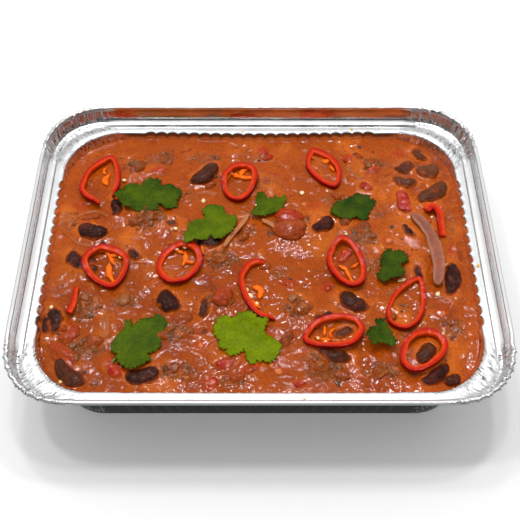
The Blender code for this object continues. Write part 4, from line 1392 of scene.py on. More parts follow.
# %% Where the slices lie
RING_OUTLINES = {
    "chilli_ring_01": ((-75, 37), (-73, 40), (-72.3, 46), (-72.8, 53), (-74, 59), (-76.5, 64), (-79, 66.3),
                       (-84, 64), (-89, 59), (-92, 53), (-93.5, 46), (-93, 42), (-90, 37.5), (-86, 34.5),
                       (-82, 32.5)),
    "chilli_ring_02": ((-10, 61.5), (-16, 57.5), (-19.5, 51.5), (-20, 46), (-18, 39), (-12.5, 34.3),
                       (-7, 36), (-2.5, 43), (-0.5, 51), (-3, 58.5)),
    "chilli_ring_03": ((26, 56), (30, 50), (38, 44), (42, 47), (43.8, 57), (40, 66), (34, 70.5), (30, 72),
                       (27, 71.5), (24.3, 62)),
    "chilli_ring_04": ((-72, -20), (-68, -17), (-65, -11), (-64, -5), (-66, 1), (-77, 5.5), (-84, 3),
                       (-87.5, -4), (-86, -9), (-82, -15)),
    "chilli_ring_05": ((-50.4, -9), (-46.5, -14.8), (-40, -17), (-33, -13), (-28.5, -6), (-28, -1),
                       (-30.5, 4.5), (-35, 7.6), (-40.5, 8), (-47.4, 3.8), (-50.6, -3)),
    "chilli_ring_06": ((2, -3), (-3, -2), (-8, -5), (-11, -12), (-11.3, -15), (-11, -18), (-9, -25),
                       (-5, -32), (0, -36), (6, -36.5)),
    "chilli_ring_07": ((40, 11.5), (33, 0), (34, -8), (38, -16), (42, -19.5), (46, -20.5), (51, -17),
                       (52.3, -8), (51, 0), (47, 7)),
    "chilli_ring_08": ((23, -51.5), (30, -53), (41, -53), (47, -48), (49.3, -42), (47, -37.5), (42, -35),
                       (34, -35), (25, -38.5), (19.5, -47)),
    "chilli_ring_09": ((77.5, -12.5), (68, -19), (63, -26), (60.5, -34), (63, -40), (69, -42), (74, -40),
                       (79, -33), (80.7, -24), (80.5, -16)),
    "chilli_ring_10": ((68, -47), (65, -54), (64.5, -60), (69, -65), (75, -64), (82, -60), (86.5, -54),
                       (87, -48), (82, -42.5), (76, -41.5)),
}
OPEN_RINGS = ("chilli_ring_01", "chilli_ring_06")
THIN_RINGS = {"chilli_ring_09": 0.78, "chilli_ring_01": 0.95, "chilli_ring_08": 1.0}
RING_SUNK = 0.8         # how deep a slice lies in the sauce
RING_SOFTEN = 34        # how often the bends of an outline are rounded


def place_on(name, route):
    """Shift an outline so that its middle is over the middle of a piece of the solid model."""
    low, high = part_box(name)
    middle = (np.array(low[:2]) + np.array(high[:2])) / 2 / MM
    return route + middle - (route.min(axis=0) + route.max(axis=0)) / 2


def solid_level(name, places, reach=2.0):
    """Height of the middle of a piece of the solid model near each place."""
    solid = node_points(name)
    away = ((places[:, None, :] - solid[None, :, :2]) ** 2).sum(axis=2)
    weight = 1 / (away + reach ** 2) ** 2
    return (weight * solid[:, 2]).sum(axis=1) / weight.sum(axis=1)


print(len(RING_OUTLINES), "slices of chilli")

# %% The section of a slice
# How far inside the skin, how high, and 1 for the cut, once round from the skin's foot
SLICE = (
    (0.55, 0.00, 0), (0.12, 0.35, 0), (-0.08, 1.00, 0), (-0.12, 1.80, 0), (-0.04, 2.60, 0), (0.02, 2.90, 0),
    (0.08, 2.99, 0), (0.18, 3.02, 1), (0.50, 3.04, 1), (1.10, 2.98, 1), (1.80, 2.90, 1), (2.35, 2.80, 1),
    (2.62, 2.66, 1), (2.78, 2.30, 1), (2.84, 1.40, 1), (2.70, 0.50, 1), (2.20, 0.05, 1),
)
SLICE_WALL = 2.9
SLICE_HALF_HEIGHT = 1.5
SKIN_RED = (0.27, 0.0028, 0.0008)
CUT_OUTER = (0.42, 0.0060, 0.0010)
CUT_INNER = (0.62, 0.044, 0.0020)


def slice_sections(route, seed, thin):
    """The section at each point of a route: its wall and its height vary a little."""
    outline = np.array([place[:2] for place in SLICE])
    wall = 1 + 0.16 * bumps(route[:, 0], route[:, 1], 5, seed)
    tall = 1 + 0.10 * bumps(route[:, 0], route[:, 1], 6, seed + 1)
    sections = []
    for number, (wide, high) in enumerate(zip(wall, tall)):
        rough = 0.07 * bumps(np.arange(len(SLICE)) * 3.1, np.full(len(SLICE), number * 0.8), 2.0, seed + 2)
        section = outline * (wide * thin, high)
        sections.append(section + rough[:, None] * np.array([place[2] for place in SLICE])[:, None])
    return sections


# The pod's skin is glossy, with a slow change of tone; the cut is wet and finely cellular
skin_material = make_tinted_material("chilli skin", (0.12, 0.09), (6, 2, 0.75, 1.25), (3, 2, 0.25, 0.4))
cut_material = make_tinted_material("chilli flesh", (0.16, 0.12), (1.8, 3, 0.85, 1.15), (0.9, 2, 0.20, 0.4),
                                    (0.10, (0.0012, 0.0004, 0.0002)))
print("chilli materials ready")

# %% Make the slices
# Two loose strips lie among the slices: width, height and route, as in the solid model
CHILLI_STRIPS = {
    "chilli_strip_1": (3.4, 2.4, ((85, 24.5), (88, 27), (90.8, 23.5), (91.3, 17), (91.2, 9))),
    "chilli_strip_2": (2.4, 2.2, ((-87.6, -21.5), (-87.8, -30), (-89.2, -36.5))),
}


def narrow_ends(sections):
    """Sections of an open slice, made smaller towards both of its ends."""
    for index in range(4):
        size = 0.45 + 0.14 * index
        sections[index] = sections[index] * size
        sections[-1 - index] = sections[-1 - index] * size


def make_slices():
    """All rings and strips of chilli, one piece of two materials."""
    parts = []
    kinds = []
    cut = [place[2] for place in SLICE]
    for number, (name, outline) in enumerate(RING_OUTLINES.items()):
        closed = name not in OPEN_RINGS
        route = place_on(name, smooth_route(outline, closed, 0.8, RING_SOFTEN))
        low = solid_level(name, route) - SLICE_HALF_HEIGHT - RING_SUNK
        sections = slice_sections(route, 600 + number, THIN_RINGS.get(name, 1.0))
        if not closed:
            narrow_ends(sections)
        parts.append(sweep(route, left_of(route, closed), low, sections, closed))
        kinds += cut * len(route) if closed else cut * (len(route) - 1) + [1, 1]
    for number, (name, (width, height, places)) in enumerate(CHILLI_STRIPS.items()):
        route = smooth_route(places, False)
        low = solid_level(name, route) - height / 2 - 0.6
        side = left_of(route, False)
        sections = slice_sections(route, 640 + number, 1.0)
        sections = [section * (width / 2.5, height / 3) for section in sections]
        parts.append(sweep(route - side * width / 2, side, low, sections, False))
        kinds += cut * (len(route) - 1) + [1, 1]
    points, faces = join_parts(parts)
    replaced = list(RING_OUTLINES) + list(CHILLI_STRIPS)
    materials = [skin_material, cut_material]
    piece = make_piece("chilli_slices", points, faces, materials, "chilli", replaced, kinds)
    repeats = len(points) // len(SLICE)
    depth = np.tile([place[0] / SLICE_WALL for place in SLICE], repeats)
    colour = blend(CUT_OUTER, CUT_INNER, fade(depth, 0.15, 0.75))
    paint(piece, "tint", towards(colour, SKIN_RED, 1 - np.tile(cut, repeats)))


make_slices()

# %% [markdown]
# The membrane that held the seeds is left as ragged orange bits inside the slices. Each is a short
# ribbon along a bent route, thickest in its middle, with a bumpy surface. The seeds are small flat
# drops, pale yellow and glossy. They cling to the membrane or have fallen into the stew.

# %% Ribbons of membrane
# Width and route of each
MEMBRANES = (
    (2.2, ((-81.5, 55.5), (-82.5, 53.0), (-81.0, 50.5))), (3.4, ((-79, 50.5), (-81, 47), (-79.5, 43))),
    (2.6, ((-16.5, 52.5), (-13, 50.5), (-10, 48.5), (-5, 47.8), (-1.2, 47.5))),
    (2.4, ((-10, 48.8), (-9.2, 52.5), (-6.2, 54.6))), (1.6, ((-15.5, 51), (-17.6, 47.5))),
    (2.4, ((37, 61), (35, 59.2), (33.5, 60.4))), (1.4, ((27.5, 63), (29.0, 61.5))),
    (1.6, ((37.5, 57), (39.5, 53.5))), (2.3, ((-76, 1.2), (-74, -2.5), (-70.6, -8.2))),
    (3.0, ((-73.4, -7), (-72.8, -13), (-69.8, -18.5))), (1.8, ((-75.5, 0), (-80, 0.6), (-84, -2.5))),
    (2.0, ((-74, -3), (-68.8, -2.2))), (2.5, ((-36.8, 0.2), (-36.2, -4), (-37.6, -8.2))),
    (1.8, ((-48.4, -9.5), (-48.8, -15.2))), (1.7, ((-28.8, 3.5), (-27.5, -1.2))),
    (1.5, ((-37, -1), (-41.5, 1))), (1.6, ((-37.2, -5.5), (-32.0, -6.5))),
    (3.0, ((-3.4, -20.6), (0.6, -22.4), (-0.4, -27.2))),
    (2.0, ((-6.4, -24.8), (-3.0, -29.4), (0.2, -32.6))), (2.2, ((41, -8.5), (43, -13.5), (45.2, -19))),
    (1.4, ((44.6, -9.6), (48.6, -6.6))), (1.5, ((42, -11), (38.6, -8))),
    (1.8, ((25.2, -48.8), (29, -50.2), (33, -50.4))), (1.5, ((30.4, -42.6), (29.8, -48.2))),
    (1.5, ((33, -49.6), (32.6, -46.6), (35, -44.2))), (1.6, ((82.6, -45.4), (84.2, -47.4), (84, -50))),
)
# Pale orange onion or carrot that is nearly sunk: the same values
ORANGE_BITS = (
    (3.6, ((7, -64.5), (10.5, -65.5))), (3.0, ((4.4, -62.2), (6.4, -61.4))),
    (3.4, ((-28, -52.6), (-25.6, -51.6))), (3.4, ((62.8, 7.0), (66, 7.6))),
    (2.8, ((84.8, -36), (87.4, -35))), (2.4, ((81.8, 30.6), (84.6, 27.6))), (3.0, ((60, 2.5), (62, 3.4))),
    (2.6, ((22, 30), (24, 32))),
)


def make_ribbons(name, ribbons, material, slot, lift, thickness, seed):
    """Ragged ribbons that lie on the stew: their top stands lift above it."""
    parts = []
    around = np.linspace(0, 2 * math.pi, 10, endpoint=False)
    for number, (width, places) in enumerate(ribbons):
        route = smooth_route(places, False, 0.4)
        share = np.linspace(-1, 1, len(route))
        ragged = 1 + 0.4 * bumps(route[:, 0], route[:, 1], 1.4, seed + number)
        girth = (1 - np.abs(share) ** 3 * 0.75) * ragged
        low = smoothed(levels_at(route), 3) + lift - thickness / 2
        sections = []
        for wide in girth:
            tall = thickness / 2 * (0.7 + 0.3 * wide)
            sections.append(np.column_stack([np.cos(around) * wide * width / 2, np.sin(around) * tall]))
        rough = 0.12 * bumps(np.arange(len(route)) * 0.9, route[:, 0] * 0, 1.0, seed + 50 + number)
        parts.append(sweep(route, left_of(route, False), low + rough, sections, False))
    points, faces = join_parts(parts)
    make_piece(name, points, faces, material, slot)


def make_soft_material(name, dark, light, size, roughness, specular, glow):
    """Soft wet food: two tones, fine bumps and a little light coming through."""
    material, tree, shader = start_material(name, roughness, specular)
    shader.inputs["Subsurface Weight"].default_value = glow
    shader.inputs["Subsurface Radius"].default_value = (0.0015, 0.0006, 0.0003)
    tone = noise_node(tree, size, 3)
    levels = tree.nodes.new("ShaderNodeValToRGB")
    levels.color_ramp.elements[0].position = 0.33
    levels.color_ramp.elements[0].color = (*dark, 1)
    levels.color_ramp.elements[1].position = 0.68
    levels.color_ramp.elements[1].color = (*light, 1)
    tree.links.new(tone.outputs["Fac"], levels.inputs["Fac"])
    tree.links.new(levels.outputs["Color"], shader.inputs["Base Color"])
    cells = noise_node(tree, size * 0.35, 2)
    add_relief(tree, shader, cells.outputs["Fac"], 0.3, 0.6)
    return material


MEMBRANE_TONES = ((0.76, 0.090, 0.002), (0.92, 0.21, 0.006))
ORANGE_TONES = ((0.50, 0.11, 0.02), (0.66, 0.20, 0.05))
membrane = make_soft_material("chilli membrane", *MEMBRANE_TONES, 1.6, 0.2, 0.1, 0.2)
orange_bit = make_soft_material("pale orange bits", *ORANGE_TONES, 1.8, 0.3, 0.25, 0.2)
make_ribbons("chilli_membranes", MEMBRANES, membrane, "chilli", 1.5, 1.7, 700)
make_ribbons("orange_bits", ORANGE_BITS, orange_bit, "onion", 0.55, 2.0, 760)

# %% Seeds
# x, y, length, the way the tip points, how far above the stew, tilt
SEEDS = (
    (-71.0, 46.5, 2.6, 200, 1.4, 25), (22.0, 38.4, 3.2, 265, 0.9, 10), (-29.0, 33.0, 2.8, 90, 0.9, 15),
    (-42.3, 14.2, 2.6, 150, 0.8, 0), (69.3, -16.5, 2.6, 10, 1.0, 15), (85.2, -24.2, 2.8, 60, 0.9, 10),
    (-98.2, -32.0, 2.2, 80, 0.9, 0), (-89.2, -69.8, 2.2, 60, 0.8, 0), (-68.0, -3.2, 2.9, 60, 1.9, 15),
    (-37.0, 2.4, 2.4, 120, 2.2, 10), (-41.0, 1.2, 2.2, 200, 1.6, 10), (-48.0, -5.5, 2.2, 40, 1.3, 10),
    (-4.5, -26.2, 3.4, 130, 2.0, 10), (-1.2, -30.2, 2.2, 300, 1.6, 0), (-6.0, -22.5, 2.3, 100, 1.5, 10),
    (30.4, -51.0, 2.2, 20, 1.4, 10), (26.8, -49.4, 2.0, 120, 1.4, 0), (84.4, -46.8, 2.4, 30, 1.5, 10),
    (-15.2, 52.0, 2.2, 80, 1.6, 0), (-18.4, 43.2, 1.9, 30, 1.5, 0), (67.4, -16.9, 2.2, 200, 0.8, 0),
    (43.4, 11.2, 1.9, 30, 0.8, 0), (71.6, -19.4, 2.0, 330, 0.7, 0),
)


def make_seeds():
    """Flat drops: a ball squashed flat and drawn out to a tip at one end."""
    ball = bmesh.new()
    bmesh.ops.create_uvsphere(ball, u_segments=18, v_segments=12, radius=1)
    base = np.array([vertex.co for vertex in ball.verts])
    own_faces = [[vertex.index for vertex in face.verts] for face in ball.faces]
    ball.free()
    parts = []
    narrow = 1 - 0.55 * fade(base[:, 0], 0.0, 1.0)
    shape = base * np.column_stack([np.full(len(base), 0.5), 0.40 * narrow, 0.20 * narrow])
    for x, y, length, turn, lift, tilt in SEEDS:
        drop = shape * length
        lean = math.radians(tilt)
        up = drop[:, 0] * math.sin(lean) + drop[:, 2] * math.cos(lean)
        ahead = drop[:, 0] * math.cos(lean) - drop[:, 2] * math.sin(lean)
        made_x, made_y = turn_plan(x, y, ahead, drop[:, 1], math.radians(turn))
        made_z = stew_level_at(x, y) + lift - 0.35 + up
        parts.append((np.column_stack([made_x, made_y, made_z]), own_faces))
    return join_parts(parts)


SEED_TONES = ((0.74, 0.54, 0.24), (0.90, 0.76, 0.44))
seed_material = make_soft_material("chilli seeds", *SEED_TONES, 1.5, 0.2, 0.3, 0.2)
seed_points, seed_faces = make_seeds()
make_piece("chilli_seeds", seed_points, seed_faces, seed_material, "seed")

# %% [markdown]
# ## Coriander leaves
#
# A coriander leaf is a thin blade cut into rounded, toothed lobes. It is soft: it settles on what is
# under it, its edge lifts here and there, and its veins are pressed in a little and paler than the
# rest. The outline's teeth carry the likeness, so each leaf has its own outline. The blade is filled
# with a net of small triangles (a Delaunay net, which makes even ones), so that it can curl and
# carry the veins, and then doubled and closed along its edge, so that it has a real thickness.

# %% The outlines of the leaves
# For each leaf: its outline, where its veins start, where each vein ends, and how bright it is
LEAVES = {
    "coriander_leaf_1": (
        ((-75.5, 36.5), (-72, 41), (-71, 44.5), (-69, 46), (-68, 47.5), (-65, 48), (-62.5, 47.5), (-62, 50),
         (-60, 50.5), (-58, 51.5), (-56.5, 50), (-55, 51.3), (-53, 50), (-53.5, 47.5), (-51, 46.8),
         (-49, 47.8), (-46.5, 47.5), (-45, 46), (-43, 45), (-41.5, 42), (-42, 39.5), (-43.5, 36.5),
         (-43.5, 33), (-46, 31.5), (-49, 30.5), (-51, 32.5), (-53, 34), (-53, 31), (-54, 29.5), (-57, 30),
         (-59, 29.5), (-61, 30.5), (-62, 29), (-65, 29.5), (-67.5, 31), (-70.5, 31), (-72, 32.5),
         (-74, 35)),
        (-70.5, 31.5), ((-60, 50), (-49, 47), (-43, 42), (-45, 33), (-57, 31), (-68, 46), (-74, 36)), 0.24),
    "coriander_leaf_2": (
        ((-36.5, 7), (-34, 7), (-31.5, 9), (-30, 8.8), (-28.5, 9), (-27, 10.5), (-25.5, 10.5), (-25, 12.5),
         (-23.8, 13.5), (-23, 11.5), (-21.5, 10.5), (-19.5, 10.3), (-17.5, 11), (-15.5, 13), (-13.5, 15),
         (-12.5, 18), (-11.5, 21), (-11, 23), (-12, 25), (-11.5, 26.5), (-14, 27), (-16.5, 28.5), (-18, 31),
         (-18.5, 33.5), (-20, 34), (-22.5, 34.5), (-25.5, 34), (-27.5, 32.5), (-29, 30.5), (-28, 28),
         (-27.5, 25), (-30, 24.5), (-33, 23), (-35, 20.5), (-36, 18.5), (-35, 16), (-36.5, 13.5), (-37, 9)),
        (-36, 8), ((-23, 33.5), (-12.5, 24), (-14, 15), (-24.5, 13), (-35, 19), (-28, 10)), 0.46),
    "coriander_leaf_3": (
        ((-4.5, 26), (-3, 28), (-1.5, 30.5), (-2, 34), (-0.5, 37.5), (1.5, 38.8), (3, 37.5), (4, 35.5),
         (6, 36.5), (7.5, 37), (8.3, 39), (9, 37), (11, 37.5), (13.3, 38.5), (13.7, 36.5), (13, 34),
         (12.3, 32), (11.5, 30), (11, 28), (8.5, 27), (6, 25.5), (3.5, 24.5), (2.5, 23.3), (0, 23.5),
         (-2, 24), (-4, 25.3)),
        (-3.6, 24.8), ((1, 38), (8, 38), (13, 37.5), (10.5, 28.5), (3, 24.5)), 0.33),
    "coriander_leaf_4": (
        ((36.7, 27.5), (37.5, 30.5), (39, 33.5), (41, 35.5), (44, 35.8), (46, 37.5), (49, 39), (50.5, 40.5),
         (52, 40.5), (54, 39.5), (57.5, 39), (57.5, 36.5), (59.8, 36.5), (60, 34.5), (59, 32), (57, 29.5),
         (56.5, 27.5), (55.5, 26.5), (56, 24.5), (53.5, 23.2), (51.5, 23.5), (50.3, 24.8), (48, 24),
         (46.5, 23), (44.5, 23.8), (42, 24), (39, 24.7), (37, 26.5)),
        (37.5, 26), ((41, 35), (51, 40), (57, 38), (59, 34), (55.5, 25.5), (47, 24)), 0.09),
    "coriander_leaf_5": (
        ((62, 1), (64, 3.5), (66, 4.5), (67.5, 3), (69, 3.8), (71, 4), (73, 2.5), (73.8, 0), (74, -3),
         (71.5, -4.5), (70, -6.5), (71, -8.5), (71.2, -11), (70, -13.3), (67, -14), (64, -14.5), (62, -16),
         (60.5, -15.5), (59.5, -14), (58, -12.5), (59, -10.5), (60.5, -8.5), (61, -6), (60.7, -3),
         (61.5, -1)),
        (59.5, -15), ((66, 3.5), (72.5, 2), (73, -3), (70.5, -11), (62, 0.5)), 0.09),
    "coriander_leaf_6": (
        ((54, -38), (56, -37.5), (58.5, -37.5), (59, -39.5), (60, -41), (60.5, -43), (62, -44.5),
         (61.5, -46), (63, -48), (63.3, -50), (61, -51.5), (59, -50.8), (56.5, -50.3), (54.5, -50.5),
         (52.5, -52), (51, -50), (50, -48), (49.3, -47), (50.5, -45), (51.5, -43), (54, -42.3), (55, -41)),
        (50, -47.5), ((57.5, -38.5), (61, -44.5), (62.5, -50), (56, -50), (53, -50.8)), 0.12),
    "coriander_leaf_7": (
        ((-69, -51.5), (-68, -48.5), (-66, -45), (-64, -42.5), (-63.5, -40), (-63.5, -37.5), (-62, -38),
         (-61, -37.2), (-60, -39), (-59.3, -41), (-58, -38.5), (-56, -37), (-53, -36.7), (-50.5, -36.5),
         (-49.3, -35), (-47.5, -35), (-46, -36), (-44.2, -38), (-44.2, -41), (-45.5, -45), (-46.3, -48),
         (-46, -51), (-47.5, -53.5), (-50, -54.8), (-52, -55.5), (-50.5, -57), (-50, -59), (-52, -61),
         (-54, -62.5), (-56, -63.8), (-58.5, -64.5), (-60.5, -63.5), (-62, -62.5), (-63.5, -61),
         (-65, -59.5), (-66, -57), (-65, -55.5), (-67, -55), (-68.5, -53.5)),
        (-65, -57.5),
        ((-68, -51), (-62.5, -38.5), (-54, -37.5), (-46, -37), (-46.5, -51), (-51, -59), (-60, -63.5)),
        0.30),
    "coriander_leaf_8": (
        ((-22.3, -40), (-21, -38), (-20.5, -36), (-18, -34.8), (-15.5, -34.8), (-13.3, -36.5), (-11, -34.5),
         (-8, -33.7), (-5, -34), (-3, -35.5), (-1, -37), (2.8, -37), (2.5, -39.5), (1.3, -42), (1.5, -44.5),
         (3.5, -46), (6, -47), (8.5, -49), (8.8, -51.5), (7.5, -54), (6, -56.5), (3.5, -58.5), (1, -57.5),
         (-0.5, -58.3), (-2, -57.5), (-4, -59.5), (-6, -58), (-7, -56), (-7.5, -53), (-8, -52), (-10, -54),
         (-12, -55), (-14.5, -55.5), (-16, -54), (-16, -52), (-18, -51.8), (-20, -50), (-19.5, -47.5),
         (-21.5, -45), (-22, -43)),
        (-10.5, -50.5),
        ((-21, -40), (-18, -36), (-7, -35), (1.5, -38), (7, -50), (2, -57), (-5, -58), (-15, -54)), 0.85),
}
LEAF_NET = 0.62         # spacing of the net that fills a leaf
LEAF_THICK = 0.26
VEIN_PRESS = 0.16       # how far the veins are pressed in
VEIN_WIDTH = 0.30
LEAF_PUFF = 0.34        # how far the blade bulges between its veins
LEAF_CURL = 0.95        # how far its edge lifts or sinks
print(len(LEAVES), "leaves")


# %% Fill an outline with a net
def fill_outline(outline, spacing):
    """Points and triangles of an even net inside an outline; the outline's own points come first."""
    low = outline.min(axis=0)
    high = outline.max(axis=0)
    lines = []
    for row, y in enumerate(np.arange(low[1], high[1], spacing * 0.87)):
        shift = spacing / 2 * (row % 2)
        lines += [(x + shift, y) for x in np.arange(low[0], high[0], spacing)]
    inside = [place for place in lines if is_well_inside(place, outline, spacing * 0.55)]
    places = [Vector(place) for place in outline.tolist()] + [Vector(place) for place in inside]
    count = len(outline)
    edges = [(index, (index + 1) % count) for index in range(count)]
    made, _, triangles, *_ = geometry.delaunay_2d_cdt(places, edges, [], 1, 1e-4)
    return np.array([tuple(place) for place in made]), [list(triangle) for triangle in triangles]


def is_well_inside(place, outline, margin):
    """Whether a place is inside an outline and at least a margin from its edge."""
    x, y = place
    after = np.roll(outline, -1, axis=0)
    along = after - outline
    share = (x - outline[:, 0]) * along[:, 0] + (y - outline[:, 1]) * along[:, 1]
    share = share / (along ** 2).sum(axis=1)
    nearest = outline + along * np.clip(share, 0, 1)[:, None]
    if ((nearest - (x, y)) ** 2).sum(axis=1).min() < margin ** 2:
        return False
    crosses = (outline[:, 1] > y) != (after[:, 1] > y)
    rise = np.where(along[:, 1] == 0, 1, along[:, 1])
    cut = outline[:, 0] + (y - outline[:, 1]) / rise * along[:, 0]
    return bool((crosses & (cut > x)).sum() % 2)


def edge_distance(places, outline):
    """How far each place is from an outline."""
    after = np.roll(outline, -1, axis=0)
    along = after - outline
    offset = places[:, None, :] - outline[None]
    share = (offset * along).sum(axis=2) / (along ** 2).sum(axis=1)
    nearest = outline + along * np.clip(share, 0, 1)[:, :, None]
    return np.sqrt(((places[:, None, :] - nearest) ** 2).sum(axis=2).min(axis=1))


def vein_amount(places, base, tips, width):
    """1 on a vein and 0 away from it: one vein to each tip, and side veins off each."""
    base = np.asarray(base, dtype=float)
    amount = np.zeros(len(places))
    for number, tip in enumerate(tips):
        tip = np.asarray(tip, dtype=float)
        along = tip - base
        length = np.linalg.norm(along)
        ahead = along / length
        side = np.array([-ahead[1], ahead[0]])
        bend = 0.07 * length * (1 if number % 2 else -1)
        offset = places - base
        travelled = offset @ ahead
        share = np.clip(travelled / length, 0, 1)
        aside = offset @ side - bend * np.sin(np.pi * share)
        past = np.maximum(np.abs(travelled / length - 0.5) - 0.5, 0) * length
        main = np.exp(-((aside / (width * (1.15 - 0.6 * share))) ** 2) - (past / 0.5) ** 2)
        amount = np.maximum(amount, main * (1 - 0.25 * share))
        reach = 0.30 * length
        fork = np.abs(aside)
        twig = travelled - fork * 0.9 - length * 0.08
        spacing = 3.1
        away = np.abs((twig / spacing + 0.5) % 1 - 0.5) * spacing
        near = (1 - fade(fork, reach * 0.35, reach * 0.8)) * (share > 0.05) * (share < 0.95)
        amount = np.maximum(amount, 0.5 * near * np.exp(-(away / (width * 0.7)) ** 2))
    return amount


# %% The blade of a leaf
TOOTH_LENGTH = 2.4      # along the edge
TOOTH_DEPTH = 1.5
EDGE_SPACING = 0.36     # between the points of a leaf's edge


def signed_area(outline):
    """Area inside an outline, positive if it runs anticlockwise."""
    after = np.roll(outline, -1, axis=0)
    return 0.5 * float((outline[:, 0] * after[:, 1] - after[:, 0] * outline[:, 1]).sum())


def teeth_round(count, seed):
    """Teeth along an edge of evenly spaced points: each leans forwards, and no two are the same."""
    at = np.arange(count) * EDGE_SPACING
    drift = 0.5 * bumps(at, at * 0, 6, seed + 20)
    phase = (at / TOOTH_LENGTH + drift) % 1
    depth = 0.65 + 0.35 * bumps(at, at * 0 + 9, 4, seed + 21)
    return TOOTH_DEPTH * depth * (np.abs(np.sin(np.pi * phase)) ** 0.7 - 0.55)


def leaf_mesh(name, outline, base, tips, seed):
    """Upper and lower points of one leaf, its triangles, its veins and how far in each point is."""
    plain_edge = smooth_route(outline, True, EDGE_SPACING)
    edge = place_on(name, plain_edge)
    shift = edge.mean(axis=0) - plain_edge.mean(axis=0)
    outwards = -left_of(edge, True) * np.sign(signed_area(edge))
    edge = edge + outwards * teeth_round(len(edge), seed)[:, None]
    plan, triangles = fill_outline(edge, LEAF_NET)
    count = len(edge)
    veins = vein_amount(plan, np.array(base) + shift, np.array(tips) + shift, VEIN_WIDTH)
    inwards = edge_distance(plan, edge)
    resting = solid_level(name, plan, 3.0)
    x, y = plan.T
    puff = LEAF_PUFF * layered_bumps(x, y, 4.2, seed, 2) * fade(inwards, 0, 2)
    curl = LEAF_CURL * bumps(x, y, 7, seed + 3) * (1 - fade(inwards, 0, 3.2))
    level = resting + 0.25 + puff + curl - VEIN_PRESS * veins
    floor_level = levels_at(plan) + 0.35
    level = np.maximum(level, floor_level)
    upper = np.column_stack([plan, level + LEAF_THICK / 2])
    lower = np.column_stack([plan, level - LEAF_THICK / 2])
    points = np.vstack([upper, lower])
    faces = triangles + [[index + len(plan) for index in reversed(triangle)] for triangle in triangles]
    for index in range(count):
        after = (index + 1) % count
        faces.append([index, index + len(plan), after + len(plan), after])
    return points, faces, np.tile(veins, 2), np.tile(inwards, 2)


LEAF_DEEP = (0.010, 0.036, 0.0045)
LEAF_BRIGHT = (0.158, 0.218, 0.0004)
VEIN_PALE = (0.19, 0.25, 0.008)


def leaf_colours(points, veins, inwards, bright, seed):
    """Linear colours of a leaf: patches of tone, pale veins and a slightly darker edge."""
    x, y = points[:, 0], points[:, 1]
    patch = layered_bumps(x, y, 5, seed + 9, 3)
    share = np.clip(bright + 0.20 * patch, 0, 1)
    colour = blend(LEAF_DEEP, LEAF_BRIGHT, share)
    colour = colour * (0.82 + 0.18 * fade(inwards, 0, 1.0))[:, None]
    pale = np.asarray(VEIN_PALE) * (0.25 + 0.75 * bright)
    return towards(colour, pale, 0.55 * veins)


# A thin blade: matt, finely veined, lit a little from behind
leaf_material = make_tinted_material("coriander leaf", (0.42, 0.03), (1.2, 4, 0.82, 1.20),
                                     (0.8, 3, 0.25, 0.5), (0.12, (0.0004, 0.0008, 0.0001)))
print("leaf material ready")

# %% Make the leaves
def make_leaves():
    """All leaves, one piece."""
    parts = []
    colours = []
    for number, (name, (outline, base, tips, bright)) in enumerate(LEAVES.items()):
        seed = 800 + 11 * number
        made, triangles, veins, inwards = leaf_mesh(name, outline, base, tips, seed)
        parts.append((made, triangles))
        colours.append(leaf_colours(made, veins, inwards, bright, seed))
    points, faces = join_parts(parts)
    piece = make_piece("coriander_leaves", points, faces, leaf_material, "coriander", list(LEAVES))
    paint(piece, "tint", np.vstack(colours))


make_leaves()
STEM_TONES = ((0.07, 0.12, 0.006), (0.16, 0.22, 0.02))
stem_material = make_soft_material("coriander stem", *STEM_TONES, 1.2, 0.3, 0.15, 0.1)
STEM = ((1.4, ((-63.6, -55.5), (-65.4, -59.4), (-67.0, -63.2))),)
make_ribbons("coriander_stem", STEM, stem_material, "coriander", 1.6, 1.3, 1290)

# %% [markdown]
# ## Tomato, onion and mince
#
# Stewed tomato keeps ragged wedges of red flesh, wet and soft at the edges. Onion turns to glassy
# arcs that take up the colour of the sauce and keep a pale rim. Minced beef is crumbs of every size
# up to a few millimetres, rough and brown, half sunk and half coated. The wedges are lumps like the
# beans, but flatter and more broken; the arcs are ribbons; the crumbs are small balls pushed out of
# shape by noise, hundreds of them joined into one mesh.

# %% Wedges of tomato
# More wedges that are nearly sunk: x, y, length, width, turn, how far they stand out
SUNK_TOMATO = (
    (60, 54, 12, 8.5, 60, 1.0), (46.5, 62, 6, 4.5, 20, 0.9), (2, 66.5, 9.5, 6, 80, 1.0),
    (33, -20.5, 7, 4.5, 60, 0.9), (13, -18.5, 5.5, 4, 0, 0.8), (-52.5, 53, 6.5, 4, 0, 0.8),
    (-22, -71, 8, 6, 20, 0.9), (18, -72, 7, 3.5, 10, 0.9), (-4, -64.5, 8, 4, 25, 1.0),
    (-64.5, -62.5, 8, 4.5, -30, 0.9), (42, -1.5, 10, 6, 60, 1.2), (-58, -6, 10, 2.6, -14, 0.9),
    (10, 49.5, 8, 3.6, -50, 0.8), (86, 20, 7, 3.5, 80, 0.7),
)


def tomato_points(shape, seed, half_height):
    """A flat ragged wedge: a bean's grid, squarer, with broken edges and a rough top."""
    places, share, around = bean_points(shape, seed, half_height, 0.0)
    middle = np.array([shape["x"], shape["y"], shape["top"] - half_height])
    away = places - middle
    x, y = places[:, 0], places[:, 1]
    ragged = 1 + 0.20 * layered_bumps(x + 60, y + away[:, 2], 4.5, seed + 3, 3)
    places[:, :2] = middle[:2] + away[:, :2] * ragged[:, None]
    places[:, 2] = middle[2] + away[:, 2] * (1 + 0.30 * layered_bumps(x, y, 2.6, seed + 7, 3))
    return places, share, around


TOMATO_DEEP = (0.34, 0.016, 0.005)
TOMATO_LIGHT = (0.56, 0.070, 0.022)
WEDGE_HALF_HEIGHT = 3.25
SUNK_WEDGE_HALF_HEIGHT = 2.2
